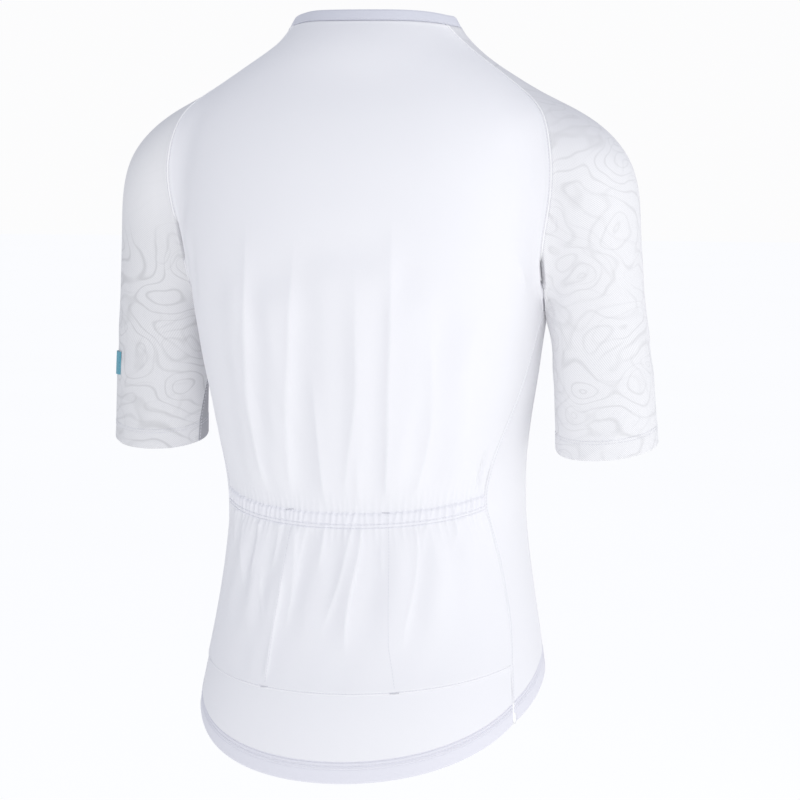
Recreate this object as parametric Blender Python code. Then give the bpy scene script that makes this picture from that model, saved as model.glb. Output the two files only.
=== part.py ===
"""A short-sleeved cycling jersey, standing in the hollow shape that it has when worn.

Frame: metres, +Z up, the back faces +Y and the front -Y. The wearer's left is +X.
The origin is the middle of the shoulders, where the wearer holds the jersey up.
Heights in the tables are measured up from the lowest point of the back hem, and
SHOULDER_HEIGHT is taken off them when a piece is made.
"""
import math

import bmesh
import bpy
import numpy as np

# ---------------------------------------------------------------- driving sizes, metres
SHOULDER_HEIGHT = 0.640     # the origin, above the lowest point of the hem
WALL = 0.0012               # knitted cloth
BAND_WALL = 0.0016          # elastic and folded bands
SEAM_GAP = 0.0003           # between neighbouring pieces
ZIP_HALF = 0.0055           # from the middle of the front to the edge of a front
ZIP_WALL = 0.0014
COLLAR_TALL = 0.0110

# The body, as level sections: height, half width, half depth, middle depth, squareness.
BODY_SECTIONS = (
    (-0.020, 0.1600, 0.1300, -0.003, 2.10),
    (0.060, 0.1605, 0.1290, -0.004, 2.10),
    (0.130, 0.1488, 0.1200, -0.012, 2.10),
    (0.200, 0.1390, 0.1070, -0.013, 2.15),
    (0.250, 0.1370, 0.1010, -0.008, 2.15),
    (0.300, 0.1428, 0.1050, -0.001, 2.15),
    (0.370, 0.1555, 0.1130, 0.005, 2.15),
    (0.440, 0.1655, 0.1190, 0.009, 2.15),
    (0.500, 0.1700, 0.1190, 0.011, 2.10),
    (0.560, 0.1690, 0.1100, 0.009, 2.05),
    (0.600, 0.1580, 0.0985, 0.003, 2.00),
    (0.620, 0.1365, 0.0900, -0.001, 2.00),
    (0.640, 0.1070, 0.0815, -0.001, 2.00),
    (0.652, 0.0905, 0.0770, -0.007, 2.00),
    (0.662, 0.0785, 0.0728, -0.014, 2.00),
    (0.672, 0.0740, 0.0710, -0.020, 2.00),
    (0.700, 0.0720, 0.0690, -0.023, 2.00),
)
# A sleeve, as level sections: height, middle across, middle depth, long and short half axes.
SLEEVE_SECTIONS = (
    (0.260, 0.2160, -0.022, 0.0460, 0.0390),
    (0.300, 0.2150, -0.020, 0.0455, 0.0390),
    (0.360, 0.2122, -0.017, 0.0448, 0.0395),
    (0.420, 0.2070, -0.013, 0.0440, 0.0415),
    (0.470, 0.2000, -0.011, 0.0475, 0.0460),
    (0.520, 0.1915, -0.011, 0.0525, 0.0525),
    (0.555, 0.1805, -0.010, 0.0520, 0.0515),
    (0.580, 0.1640, -0.008, 0.0455, 0.0440),
    (0.600, 0.1420, -0.006, 0.0340, 0.0330),
    (0.620, 0.1100, -0.004, 0.0120, 0.0120),
    (0.640, 0.0700, -0.004, 0.0030, 0.0030),
)
SLEEVE_TURN = math.radians(20)          # the long axis points outwards and forwards
# How softly the sleeve runs into the body: nothing below the armpit, rounded above it.
BLEND_LOW, BLEND_HIGH = 0.402, 0.455
BLEND_THIN, BLEND_FULL = 0.002, 0.028

# The neck seam: an oval ring, level at the back and dropping at the front.
NECK_WIDE, NECK_DEEP, NECK_MIDDLE = 0.0745, 0.0700, -0.0200
NECK_HEIGHT, NECK_FRONT_DROP, NECK_DROP_POWER = 0.6732, 0.0450, 2.2
BACK_NECK_ANGLE, FRONT_NECK_ANGLE = 69.0, 108.0     # where the sleeve seams leave it
COLLAR_LEAN = 0.55                      # how far the band leans in as it rises
# Seams between a sleeve and the body, from the neck down: across, depth, height.
BACK_RAGLAN = (
    (0.0955, 0.0060, 0.6517),
    (0.1264, 0.0120, 0.6270),
    (0.1580, 0.0220, 0.6020),
    (0.1770, 0.0370, 0.5700),
    (0.1830, 0.0470, 0.5370),
    (0.1790, 0.0450, 0.5000),
    (0.1690, 0.0320, 0.4670),
)
FRONT_RAGLAN = (
    (0.0940, -0.0430, 0.6400),
    (0.1200, -0.0520, 0.6150),
    (0.1440, -0.0640, 0.5850),
    (0.1590, -0.0720, 0.5520),
    (0.1660, -0.0690, 0.5180),
    (0.1690, -0.0550, 0.4850),
    (0.1680, -0.0330, 0.4540),
)
ARMPIT_ACROSS, ARMPIT_DEPTH = 0.1630, 0.0020
ARMPIT_SEARCH = (0.380, 0.460)          # heights between which the armpit closes
ARMPIT_EASE = 4.0                       # how many times the usual seam gap opens there
ARMPIT_RISE = 0.006                     # the armpit's row, higher in the middle of the body
# How far the body's rows wrap round each way, in degrees, at the neck and at the armpit.
NECK_TURN, ARMPIT_TURN = 66.0, 90.0
# The line over the shoulder and down the outside of the sleeve: share of the seam, place.
SLEEVE_OUTSIDE = (
    (0.0, 0.0755, -0.018, 0.668),
    (0.1, 0.1000, -0.010, 0.652),
    (0.2, 0.1320, -0.010, 0.629),
    (0.3, 0.1650, -0.012, 0.610),
    (0.4, 0.1950, -0.015, 0.592),
    (0.5, 0.2200, -0.018, 0.568),
    (0.6, 0.2370, -0.019, 0.540),
    (0.7, 0.2450, -0.021, 0.508),
    (0.8, 0.2480, -0.023, 0.475),
    (0.9, 0.2500, -0.025, 0.442),
    (1.0, 0.2515, -0.027, 0.412),
)
# How far a sleeve's row wraps round the arm, each way: share of the seam, degrees.
SLEEVE_WRAP = ((0.0, 26), (0.25, 60), (0.5, 88), (0.75, 118), (1.0, 176))
# The side seam: height, angle round the body from the middle of the back, degrees.
SIDE_SEAM = (
    (0.000, 68.0),
    (0.080, 68.5),
    (0.150, 71.0),
    (0.200, 67.5),
    (0.250, 61.5),
    (0.285, 66.0),
    (0.320, 74.0),
    (0.370, 84.0),
    (0.430, 91.0),
)
# Rows below the armpit: height at the side seam, middle of the back, middle of the front.
BODY_ROWS = (
    (0.3860, 0.3880, 0.3900),
    (0.3520, 0.3500, 0.3600),
    (0.3180, 0.3120, 0.3300),
    (0.2860, 0.2740, 0.3010),
    (0.2543, 0.2375, 0.2720),
    (0.2393, 0.2225, 0.2570),
    (0.2060, 0.1880, 0.2300),
    (0.1710, 0.1510, 0.2010),
    (0.1350, 0.1140, 0.1720),
    (0.0997, 0.0775, 0.1500),
    (0.0690, 0.0200, 0.1380),
)
BAND_TOP_ROW, BAND_FOOT_ROW, POCKET_FOOT_ROW = 5, 6, 10      # rows below the armpit
HEM_EDGE = (0.0500, 0.0000, 0.1180)     # the same three heights, at the free edge
BACK_SWEEP, FRONT_SWEEP = 0.20, 0.50    # how soon the rows leave the side seam's height
RAGLAN_ROWS = 10
BACK_COLUMNS, FRONT_COLUMNS, SLEEVE_COLUMNS = 28, 14, 20

# Vertical folds of the back: angle at the top and the foot (degrees, + to the wearer's
# right), height of the top and the foot, depth, reach to the left and to the right.
BACK_FOLDS = (
    (-31.0, -36.0, 0.455, 0.250, 0.0045, 7.0, 4.0),
    (-14.0, -24.0, 0.450, 0.246, 0.0050, 8.0, 4.0),
    (4.0, -3.0, 0.475, 0.243, 0.0040, 8.0, 5.0),
    (17.0, 10.0, 0.470, 0.243, 0.0055, 9.0, 4.0),
    (29.0, 22.0, 0.450, 0.245, 0.0045, 6.0, 5.0),
    (48.0, 46.0, 0.420, 0.252, 0.0030, 7.0, 7.0),
)
# Gathers of the pockets, in the same columns.
POCKET_FOLDS = (
    (-52.0, -53.0, 0.238, 0.190, 0.0030, 4.0, 4.0),
    (-41.0, -47.0, 0.232, 0.150, 0.0040, 4.0, 4.0),
    (-30.0, -38.0, 0.228, 0.120, 0.0045, 4.0, 5.0),
    (-17.0, -27.0, 0.226, 0.110, 0.0045, 5.0, 4.0),
    (-4.0, -9.0, 0.224, 0.130, 0.0035, 5.0, 5.0),
    (8.0, 3.0, 0.224, 0.115, 0.0040, 5.0, 5.0),
    (24.0, 20.0, 0.226, 0.110, 0.0040, 5.0, 5.0),
    (38.0, 36.0, 0.230, 0.130, 0.0035, 5.0, 5.0),
    (50.0, 52.0, 0.236, 0.160, 0.0025, 5.0, 5.0),
)
FOLD_FADE = 0.025                       # length over which a fold rises and dies
# Settling a point on the form: rounds, longest move in a round, least slope reckoned with.
SETTLE_ROUNDS, LONGEST_MOVE, LEAST_SLOPE = 14, 0.008, 0.05
SHARP_EDGE = math.radians(50)           # edges shade smooth below this angle

# Sleeves: rows below the armpit, the tilt of the cuff, and the underarm wedge.
CUFF_HEIGHT, CUFF_TILT = 0.2935, 0.26
LOWER_SLEEVE_ROWS = 5
ARMHOLE_POWER = 3                       # how close to the armpit the armhole's row drops to it
# The sleeve's underarm edges, as angles back from the arm's outer side: height, back
# edge, front edge. Above the wedge they are one seam.
UNDERARM_SEAMS = (
    (0.2800, 179.0, 248.0),
    (0.3180, 186.0, 243.0),
    (0.3450, 203.0, 234.0),
    (0.3700, 219.0, 224.0),
    (0.3940, 195.0, 195.0),
    (0.4180, 168.5, 168.5),
)
WEDGE_TOP_ROW = 2                       # the sleeve row where the wedge begins
WEDGE_COLUMNS = 4

# Zip slider, with a bridge that the pull tab's eye hangs on: across, along the zip, out.
SLIDER_SIZE = (0.0090, 0.0095, 0.0032)
BRIDGE_SIZE = (0.0022, 0.0060, 0.0028)
TUNNEL_LONG, TUNNEL_TALL = 0.0040, 0.0018
TAB_WIDE, TAB_LONG, TAB_THICK = 0.0062, 0.0210, 0.0010
EYE_WIDE, EYE_LONG = 0.0032, 0.0035
SLIDER_BELOW_NECK = 0.012
SLIDER_BEVEL, SMALL_BEVEL = 0.0006, 0.0003
BRIDGE_SUNK = 0.0005                    # how far the bridge's foot is sunk in the slider

# The blank tab on the left sleeve: height of its foot, its height, its edges' angles.
PATCH_FOOT, PATCH_TALL = 0.3500, 0.0210
PATCH_FRONT_ANGLE, PATCH_BACK_ANGLE = 20.0, 62.0
PATCH_WALL = 0.0008
PATCH_COLUMNS, PATCH_ROWS = 4, 2

MATERIALS = {
    "white_knit": ((0.93, 0.93, 0.95), 0.75, 0.0),
    "print_mesh": ((0.86, 0.86, 0.88), 0.80, 0.0),
    "grey_mesh": ((0.55, 0.56, 0.58), 0.85, 0.0),
    "band_elastic": ((0.80, 0.81, 0.86), 0.70, 0.0),
    "zip_tape": ((0.88, 0.88, 0.90), 0.60, 0.0),
    "zip_metal": ((0.62, 0.63, 0.65), 0.35, 1.0),
    "tab_rubber": ((0.13, 0.40, 0.50), 0.45, 0.0),
}


# ---------------------------------------------------------------- the worn form
def eased(table, at):
    """Every further column of a table, at the given places of its first, by cubic easing."""
    rows = np.asarray(table, dtype=float)
    keys = rows[:, 0]
    values = rows[:, 1:]
    slopes = np.gradient(values, keys, axis=0)
    at = np.clip(np.asarray(at, dtype=float), keys[0], keys[-1])
    low = np.clip(np.searchsorted(keys, at) - 1, 0, len(keys) - 2)
    span = (keys[low + 1] - keys[low])[..., None]
    t = (at - keys[low])[..., None] / span
    start = (1 + 2 * t) * (1 - t) ** 2 * values[low] + t * (1 - t) ** 2 * span * slopes[low]
    end = t * t * (3 - 2 * t) * values[low + 1] + t * t * (t - 1) * span * slopes[low + 1]
    return np.moveaxis(start + end, -1, 0)


def smooth_step(value):
    """0 below 0, 1 above 1, and an S between."""
    t = np.clip(value, 0.0, 1.0)
    return t * t * (3 - 2 * t)


def body_distance(points):
    """About how far points lie outside the body's level sections."""
    wide, deep, middle, square = eased(BODY_SECTIONS, points[..., 2])
    across = np.abs(points[..., 0])
    depth = np.abs(points[..., 1] - middle)
    reach = np.hypot(across, depth) + 1e-9
    share = ((across / wide) ** square + (depth / deep) ** square) ** (1 / square) + 1e-9
    return reach - reach / share


def sleeve_distance(points):
    """About how far points lie outside the sleeve on their own side."""
    out, middle, long_half, short_half = eased(SLEEVE_SECTIONS, points[..., 2])
    dx = np.abs(points[..., 0]) - out
    dy = points[..., 1] - middle
    along = dx * math.cos(SLEEVE_TURN) - dy * math.sin(SLEEVE_TURN)
    beside = dx * math.sin(SLEEVE_TURN) + dy * math.cos(SLEEVE_TURN)
    reach = np.hypot(dx, dy) + 1e-9
    share = np.hypot(along / long_half, beside / short_half) + 1e-9
    return reach - reach / share


def form(points):
    """The worn form: body and sleeves run together, softly above the armpits."""
    body = body_distance(points)
    sleeve = sleeve_distance(points)
    rise = smooth_step((points[..., 2] - BLEND_LOW) / (BLEND_HIGH - BLEND_LOW))
    soft = BLEND_THIN + (BLEND_FULL - BLEND_THIN) * rise
    near = np.maximum(soft - np.abs(body - sleeve), 0.0)
    return np.minimum(body, sleeve) - near * near / (4 * soft)


def slope(points, surface=form):
    """The surface's gradient, by central differences."""
    step = 2e-4
    result = np.empty_like(points)
    for axis in range(3):
        shift = np.zeros(3)
        shift[axis] = step
        result[..., axis] = (surface(points + shift) - surface(points - shift)) / (2 * step)
    return result


def settle(points, surface=form, ways=(1, 1, 1)):
    """Points moved along the gradient, in the ways allowed, until they lie on the form."""
    points = np.array(points, dtype=float)
    for _ in range(SETTLE_ROUNDS):
        gradient = slope(points, surface) * ways
        steep = np.maximum((gradient ** 2).sum(-1), LEAST_SLOPE)
        move = np.clip(surface(points) / steep, -LONGEST_MOVE, LONGEST_MOVE)
        points -= gradient * move[..., None]
    return points


def outward(points):
    """Unit normals of the form."""
    gradient = slope(points)
    return gradient / np.linalg.norm(gradient, axis=-1, keepdims=True)


def body_angle(points):
    """Degrees round the body from the middle of the back, + to the wearer's right."""
    wide, deep, middle, _ = eased(BODY_SECTIONS, points[..., 2])
    return np.degrees(np.arctan2(-points[..., 0] / wide, (points[..., 1] - middle) / deep))


def on_body(angle, height):
    """The point of the left side at an angle from the middle of the back, and a height."""
    wide, deep, middle, square = eased(BODY_SECTIONS, height)
    turn = math.radians(angle)
    power = 2 / square
    across = wide * math.sin(turn) ** power
    depth = deep * math.copysign(abs(math.cos(turn)) ** power, math.cos(turn))
    return np.array((across, middle + depth, height))


# ---------------------------------------------------------------- seams
def neck_points(angles):
    """The neck seam's points at angles from the middle of the back towards the left."""
    turn = np.radians(np.asarray(angles, dtype=float))
    drop = ((1 - np.cos(turn)) / 2) ** NECK_DROP_POWER
    across = NECK_WIDE * np.sin(turn)
    depth = NECK_MIDDLE + NECK_DEEP * np.cos(turn)
    height = NECK_HEIGHT - NECK_FRONT_DROP * drop
    return settle(np.column_stack((across, depth, height)), ways=(1, 1, 0))


def zip_neck_angle():
    """The angle at which the neck seam meets the zip."""
    return 180 - math.degrees(math.asin(ZIP_HALF / NECK_WIDE))


def along_curve(corners, count):
    """Evenly spaced points on a smooth curve through the corners."""
    corners = np.asarray(corners, dtype=float)
    keys = np.concatenate(([0.0], np.cumsum(np.linalg.norm(np.diff(corners, axis=0), axis=1))))
    table = np.column_stack((keys, corners))
    fine = np.moveaxis(eased(table, np.linspace(0, keys[-1], 40 * count + 1)), 0, -1)
    runs = np.concatenate(([0.0], np.cumsum(np.linalg.norm(np.diff(fine, axis=0), axis=1))))
    even = np.linspace(0, runs[-1], count + 1)
    return np.column_stack([np.interp(even, runs, fine[:, axis]) for axis in range(3)])


def armpit():
    """The lowest point where body and sleeve meet, found by halving."""
    low, high = ARMPIT_SEARCH
    for _ in range(40):
        middle = (low + high) / 2
        inside = form(np.array((ARMPIT_ACROSS, ARMPIT_DEPTH, middle))) < 0
        low, high = (low, middle) if inside else (middle, high)
    return np.array((ARMPIT_ACROSS, ARMPIT_DEPTH, high))


def raglan(neck_angle, corners, foot):
    """A sleeve seam on the form, from the neck to the armpit."""
    on_form = settle(np.asarray(corners, dtype=float))
    line = along_curve(np.vstack((neck_points([neck_angle]), on_form, foot)), RAGLAN_ROWS)
    line[1:-1] = settle(line[1:-1])
    return line


def side_point(height):
    """The side seam's point at a height."""
    angle = float(eased(SIDE_SEAM, height)[0])
    return settle(on_body(angle, height), body_distance)


def middle_point(height, facing):
    """The middle of the back (facing 1) or of the front (facing -1) at a height."""
    _, deep, middle, _ = eased(BODY_SECTIONS, height)
    return np.array((0.0, middle + facing * deep, height))


class Seams:
    """The seam lines that neighbouring panels share, all for the wearer's left side."""

    def __init__(self):
        self.pit = armpit()
        self.back_raglan = raglan(BACK_NECK_ANGLE, BACK_RAGLAN, self.pit)
        self.front_raglan = raglan(FRONT_NECK_ANGLE, FRONT_RAGLAN, self.pit)
        heights = [row[0] for row in BODY_ROWS] + [HEM_EDGE[0]]
        self.side = np.array([side_point(height) for height in heights])
        self.back_ends = np.vstack((self.back_raglan, self.side))
        self.front_ends = np.vstack((self.front_raglan, self.side))
        shares = np.linspace(0, 1, RAGLAN_ROWS + 1)
        back_top = NECK_HEIGHT
        front_top = NECK_HEIGHT - NECK_FRONT_DROP
        pit_height = float(self.pit[2]) + ARMPIT_RISE
        rows = BODY_ROWS + (HEM_EDGE,)
        self.back_heights = np.concatenate((back_top + (pit_height - back_top) * shares,
                                            [row[1] for row in rows]))
        self.front_heights = np.concatenate((front_top + (pit_height - front_top) * shares,
                                             [row[2] for row in rows]))
        side_turns = [float(eased(SIDE_SEAM, height)[0]) for height in heights]
        upper_turns = NECK_TURN + (ARMPIT_TURN - NECK_TURN) * shares
        self.back_turns = np.concatenate((upper_turns, side_turns))
        self.front_turns = np.concatenate((upper_turns, 180 - np.array(side_turns)))


# ---------------------------------------------------------------- panels as grids of points
def level_row(end, middle, turn, shares, sweep):
    """Points from the middle of the body (share 0) round to a seam's point (share 1)."""
    turn = math.radians(turn)
    lift = (np.cos(turn * shares) - math.cos(turn)) / (1 - math.cos(turn))
    across = end[0] * np.sin(turn * shares) / math.sin(turn)
    depth = end[1] + (middle[1] - end[1]) * lift
    rise = lift * (1 + sweep * (1 - lift))
    height = end[2] + (middle[2] - end[2]) * rise
    return np.column_stack((across, depth, height))


def back_grid(seams):
    """The back, from side to side and from the collar to the hem's free edge."""
    shares = np.linspace(-1, 1, BACK_COLUMNS + 1)
    rows = []
    for end, height, turn in zip(seams.back_ends, seams.back_heights, seams.back_turns):
        rows.append(level_row(end, middle_point(height, 1), turn, shares, BACK_SWEEP))
    grid = np.array(rows)
    grid[:, 1:-1] = settle(grid[:, 1:-1])
    grid[0] = neck_points(BACK_NECK_ANGLE * shares)
    return grid


def front_grid(seams):
    """The left front, from the zip round to the side seam."""
    rows = []
    for end, height, turn in zip(seams.front_ends, seams.front_heights, seams.front_turns):
        angle = math.radians(turn)
        first = math.asin(ZIP_HALF * math.sin(angle) / end[0]) / angle
        shares = first + (1 - first) * np.linspace(0, 1, FRONT_COLUMNS + 1)
        rows.append(level_row(end, middle_point(height, -1), turn, shares, FRONT_SWEEP))
    grid = np.array(rows)
    grid[:, :-1] = settle(grid[:, :-1])
    grid[0] = neck_points(np.linspace(zip_neck_angle(), FRONT_NECK_ANGLE, FRONT_COLUMNS + 1))
    return grid


def arm_point(angle, height):
    """A point of the left sleeve, by its angle back from the arm's outer side."""
    out, middle, long_half, short_half = eased(SLEEVE_SECTIONS, height)
    turn = math.radians(angle)
    along = long_half * np.cos(turn)
    beside = short_half * np.sin(turn)
    across = out + along * math.cos(SLEEVE_TURN) + beside * math.sin(SLEEVE_TURN)
    depth = middle - along * math.sin(SLEEVE_TURN) + beside * math.cos(SLEEVE_TURN)
    return np.array((across, depth, height))


def cuff_height(angle):
    """The height of the cuff's edge: lower behind the arm than before it."""
    point = arm_point(angle, CUFF_HEIGHT)
    middle = eased(SLEEVE_SECTIONS, CUFF_HEIGHT)[1]
    return CUFF_HEIGHT - CUFF_TILT * (point[1] - middle)


def lower_sleeve_point(share, level, angle):
    """A point below the armpit: share 0 is the armpit's level, share 1 the cuff."""
    return arm_point(angle, level + (cuff_height(angle) - level) * share)


def sleeve_grid(seams):
    """The left sleeve: rows over the shoulder, then rows round the arm to the cuff."""
    shares = np.linspace(-1, 1, SLEEVE_COLUMNS + 1)
    rows = []
    outside = along_curve([row[1:] for row in SLEEVE_OUTSIDE], RAGLAN_ROWS)
    outside = settle(outside)
    for index in range(RAGLAN_ROWS):
        share = index / RAGLAN_ROWS
        front, back = seams.front_raglan[index], seams.back_raglan[index]
        wrap = math.radians(float(eased(SLEEVE_WRAP, share)[0]))
        chord_middle = (front + back) / 2
        lift = (np.cos(wrap * shares) - math.cos(wrap)) / (1 - math.cos(wrap))
        swing = np.sin(wrap * shares) / math.sin(wrap)
        row = chord_middle + np.outer(swing, (back - front) / 2)
        row += np.outer(lift, outside[index] - chord_middle)
        rows.append(row)
    outer_level = outside[RAGLAN_ROWS][2]
    for index in range(LOWER_SLEEVE_ROWS + 1):
        share = index / LOWER_SLEEVE_ROWS
        back, front = eased(UNDERARM_SEAMS, seams.pit[2] + (CUFF_HEIGHT - seams.pit[2]) * share)
        row = []
        for swing in shares:
            level = outer_level + (seams.pit[2] - outer_level) * abs(swing) ** ARMHOLE_POWER
            angle = back * swing if swing > 0 else (360 - front) * swing
            row.append(lower_sleeve_point(share, level, angle))
        rows.append(np.array(row))
    grid = np.array(rows)
    grid[RAGLAN_ROWS, 0] = seams.pit
    grid[RAGLAN_ROWS, -1] = seams.pit
    grid[1:RAGLAN_ROWS + 1, 1:-1] = settle(grid[1:RAGLAN_ROWS + 1, 1:-1])
    grid[0] = neck_points(np.linspace(FRONT_NECK_ANGLE, BACK_NECK_ANGLE, SLEEVE_COLUMNS + 1))
    return grid


def wedge_grid(seams):
    """The left underarm wedge, between the sleeve's two lower edges."""
    rows = []
    for index in range(WEDGE_TOP_ROW, LOWER_SLEEVE_ROWS + 1):
        share = index / LOWER_SLEEVE_ROWS
        back, front = eased(UNDERARM_SEAMS, seams.pit[2] + (CUFF_HEIGHT - seams.pit[2]) * share)
        angles = np.linspace(front, back, WEDGE_COLUMNS + 1)
        rows.append([lower_sleeve_point(share, seams.pit[2], angle) for angle in angles])
    return np.array(rows)


# ---------------------------------------------------------------- folds
def fold_heights(grid, folds):
    """How far each point stands out, from a table of folds."""
    angles = body_angle(grid)
    heights = grid[..., 2]
    total = np.zeros(angles.shape)
    for top_angle, foot_angle, top, foot, depth, left, right in folds:
        share = np.clip((top - heights) / (top - foot), 0, 1)
        offset = angles - (top_angle + (foot_angle - top_angle) * share)
        reach = np.where(offset < 0, left, right)
        rise = smooth_step((top - heights) / FOLD_FADE) * smooth_step((heights - foot) / FOLD_FADE)
        total += depth * np.exp(-(offset / reach) ** 2) * rise
    return total


# ---------------------------------------------------------------- making solids
def new_object(name, mesh_data, material):
    """A scene object from a filled bmesh, in the frame of the origin."""
    mesh = bpy.data.meshes.new(name)
    mesh_data.to_mesh(mesh)
    mesh_data.free()
    piece = bpy.data.objects.new(name, mesh)
    bpy.context.collection.objects.link(piece)
    mesh.materials.append(finish(material))
    return piece


def finish(name):
    """The material of that name, made the first time it is asked for."""
    if name in bpy.data.materials:
        return bpy.data.materials[name]
    colour, roughness, metallic = MATERIALS[name]
    material = bpy.data.materials.new(name)
    material.use_nodes = True
    shader = material.node_tree.nodes["Principled BSDF"]
    shader.inputs["Base Color"].default_value = (*colour, 1.0)
    shader.inputs["Roughness"].default_value = roughness
    shader.inputs["Metallic"].default_value = metallic
    return material


def pulled_in(grid, eased_row=None):
    """The grid with its four edges drawn in by half a seam gap, square to each edge.

    Four pieces meet at the armpit, in eased_row: there the side edges draw in further.
    """
    result = grid.copy()
    for edge, beside in ((0, 1), (-1, -2)):
        for axis in (0, 1):
            rim = np.take(grid, edge, axis)
            along = np.gradient(rim, axis=0)
            along /= np.linalg.norm(along, axis=-1, keepdims=True)
            run = np.take(grid, beside, axis) - rim
            run -= along * (run * along).sum(-1, keepdims=True)
            run *= SEAM_GAP / 2 / np.linalg.norm(run, axis=-1, keepdims=True)
            if axis == 0:
                result[edge] += run
            else:
                if eased_row is not None:
                    run[eased_row] *= ARMPIT_EASE
                result[:, edge] += run
    return result


def panel(name, grid, normals, material, wall=WALL, out=0.0, eased_row=None):
    """A closed wall on a grid of points: its outer skin stands out by the given amount."""
    stand = np.broadcast_to(out, grid.shape[:2])[..., None]
    outer = pulled_in(grid + normals * stand, eased_row)
    inner = outer - normals * wall
    rows, columns = grid.shape[:2]
    mesh_data = bmesh.new()
    skins = []
    for skin in (outer, inner):
        placed = skin - np.array((0.0, 0.0, SHOULDER_HEIGHT))
        skins.append([[mesh_data.verts.new(point) for point in row] for row in placed])
    for skin in skins:
        for r in range(rows - 1):
            for c in range(columns - 1):
                near, far = (c, c + 1) if c < columns // 2 else (c + 1, c)
                mesh_data.faces.new((skin[r][near], skin[r][far], skin[r + 1][far]))
                mesh_data.faces.new((skin[r][near], skin[r + 1][far], skin[r + 1][near]))
    rim = [(0, c) for c in range(columns)]
    rim += [(r, columns - 1) for r in range(1, rows)]
    rim += [(rows - 1, c) for c in range(columns - 2, -1, -1)]
    rim += [(r, 0) for r in range(rows - 2, 0, -1)]
    for corner, following in zip(rim, rim[1:] + rim[:1]):
        # The rim's quads are split alike on both sides of a seam, so that they never cross.
        (r1, c1), (r2, c2) = sorted((corner, following))
        mesh_data.faces.new((skins[0][r1][c1], skins[0][r2][c2], skins[1][r2][c2]))
        mesh_data.faces.new((skins[0][r1][c1], skins[1][r2][c2], skins[1][r1][c1]))
    bmesh.ops.recalc_face_normals(mesh_data, faces=mesh_data.faces)
    piece = new_object(name, mesh_data, material)
    piece.data.shade_smooth()
    piece.data.set_sharp_from_angle(angle=SHARP_EDGE)
    return piece


def mirrored(points):
    """The same points on the wearer's other side."""
    return points * np.array((-1.0, 1.0, 1.0))


def pair(name, grid, normals, material, **options):
    """A panel on the wearer's left and its mirror on the right."""
    panel(name + "_left", grid, normals, material, **options)
    panel(name + "_right", mirrored(grid), mirrored(normals), material, **options)


# ---------------------------------------------------------------- collar and zip
def collar_angles():
    """Angles round the neck seam, at every second point of the panels below it."""
    left = np.concatenate((
        np.linspace(0, BACK_NECK_ANGLE, BACK_COLUMNS // 4 + 1),
        np.linspace(BACK_NECK_ANGLE, FRONT_NECK_ANGLE, SLEEVE_COLUMNS // 2 + 1)[1:],
        np.linspace(FRONT_NECK_ANGLE, zip_neck_angle(), FRONT_COLUMNS // 2 + 1)[1:],
    ))
    return np.concatenate((-left[:0:-1], left))


def collar_up(angles):
    """For each angle: the way the band rises, and the way out from the neck."""
    turn = np.radians(angles) * 180 / zip_neck_angle()     # straight ahead at the zip
    radial = np.column_stack((np.sin(turn), np.cos(turn), np.zeros(len(turn))))
    rise = np.array((0.0, 0.0, 1.0)) - radial * COLLAR_LEAN
    return rise / np.linalg.norm(rise, axis=1, keepdims=True), radial


def make_collar():
    """The low band round the neck, open at the zip."""
    angles = collar_angles()
    rise, radial = collar_up(angles)
    seam = neck_points(angles) + rise * SEAM_GAP
    grid = np.array([seam + rise * COLLAR_TALL * share for share in (1.0, 0.5, 0.0)])
    panel("collar_band", grid, np.array([radial] * 3), "band_elastic", wall=BAND_WALL)


def zip_line(seams):
    """Points down the middle of the front, and their normals, from collar top to hem."""
    heights = seams.front_heights
    body = np.array([middle_point(height, -1) for height in heights])
    body = settle(body)
    normals = outward(body)
    rise, radial = collar_up(np.array([zip_neck_angle()]))
    top = body[0] + rise[0] * (COLLAR_TALL + SEAM_GAP)
    return np.vstack((top, body)), np.vstack((radial[0], normals))


def make_zip_tapes(line, normals):
    """The zip's two halves, each between a front's edge and the middle."""
    inner, outer = SEAM_GAP / 2, ZIP_HALF - SEAM_GAP / 2
    grid = np.stack([line + np.array((across, 0, 0)) for across in (inner, outer)], axis=1)
    pair("zip_tape", grid, np.stack((normals, normals), axis=1), "zip_tape", wall=ZIP_WALL)


def box(size, centre, bevel=0.0):
    """A box as a bmesh, its edges rounded by the bevel."""
    mesh_data = bmesh.new()
    bmesh.ops.create_cube(mesh_data, size=1.0)
    bmesh.ops.scale(mesh_data, vec=size, verts=mesh_data.verts)
    bmesh.ops.translate(mesh_data, vec=centre, verts=mesh_data.verts)
    if bevel:
        bmesh.ops.bevel(mesh_data, geom=mesh_data.edges[:], offset=bevel, segments=2,
                        affect="EDGES", profile=0.5)
    return mesh_data


def cut_or_join(piece, other_data, operation):
    """A Boolean with a guide that is left out of the build."""
    guide = new_object(piece.name + "_guide_" + operation.lower(), other_data, "zip_metal")
    guide.hide_render = True
    guide.display_type = "WIRE"
    modifier = piece.modifiers.new(operation, "BOOLEAN")
    modifier.operation = operation
    modifier.solver = "EXACT"
    modifier.object = guide
    return guide


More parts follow.
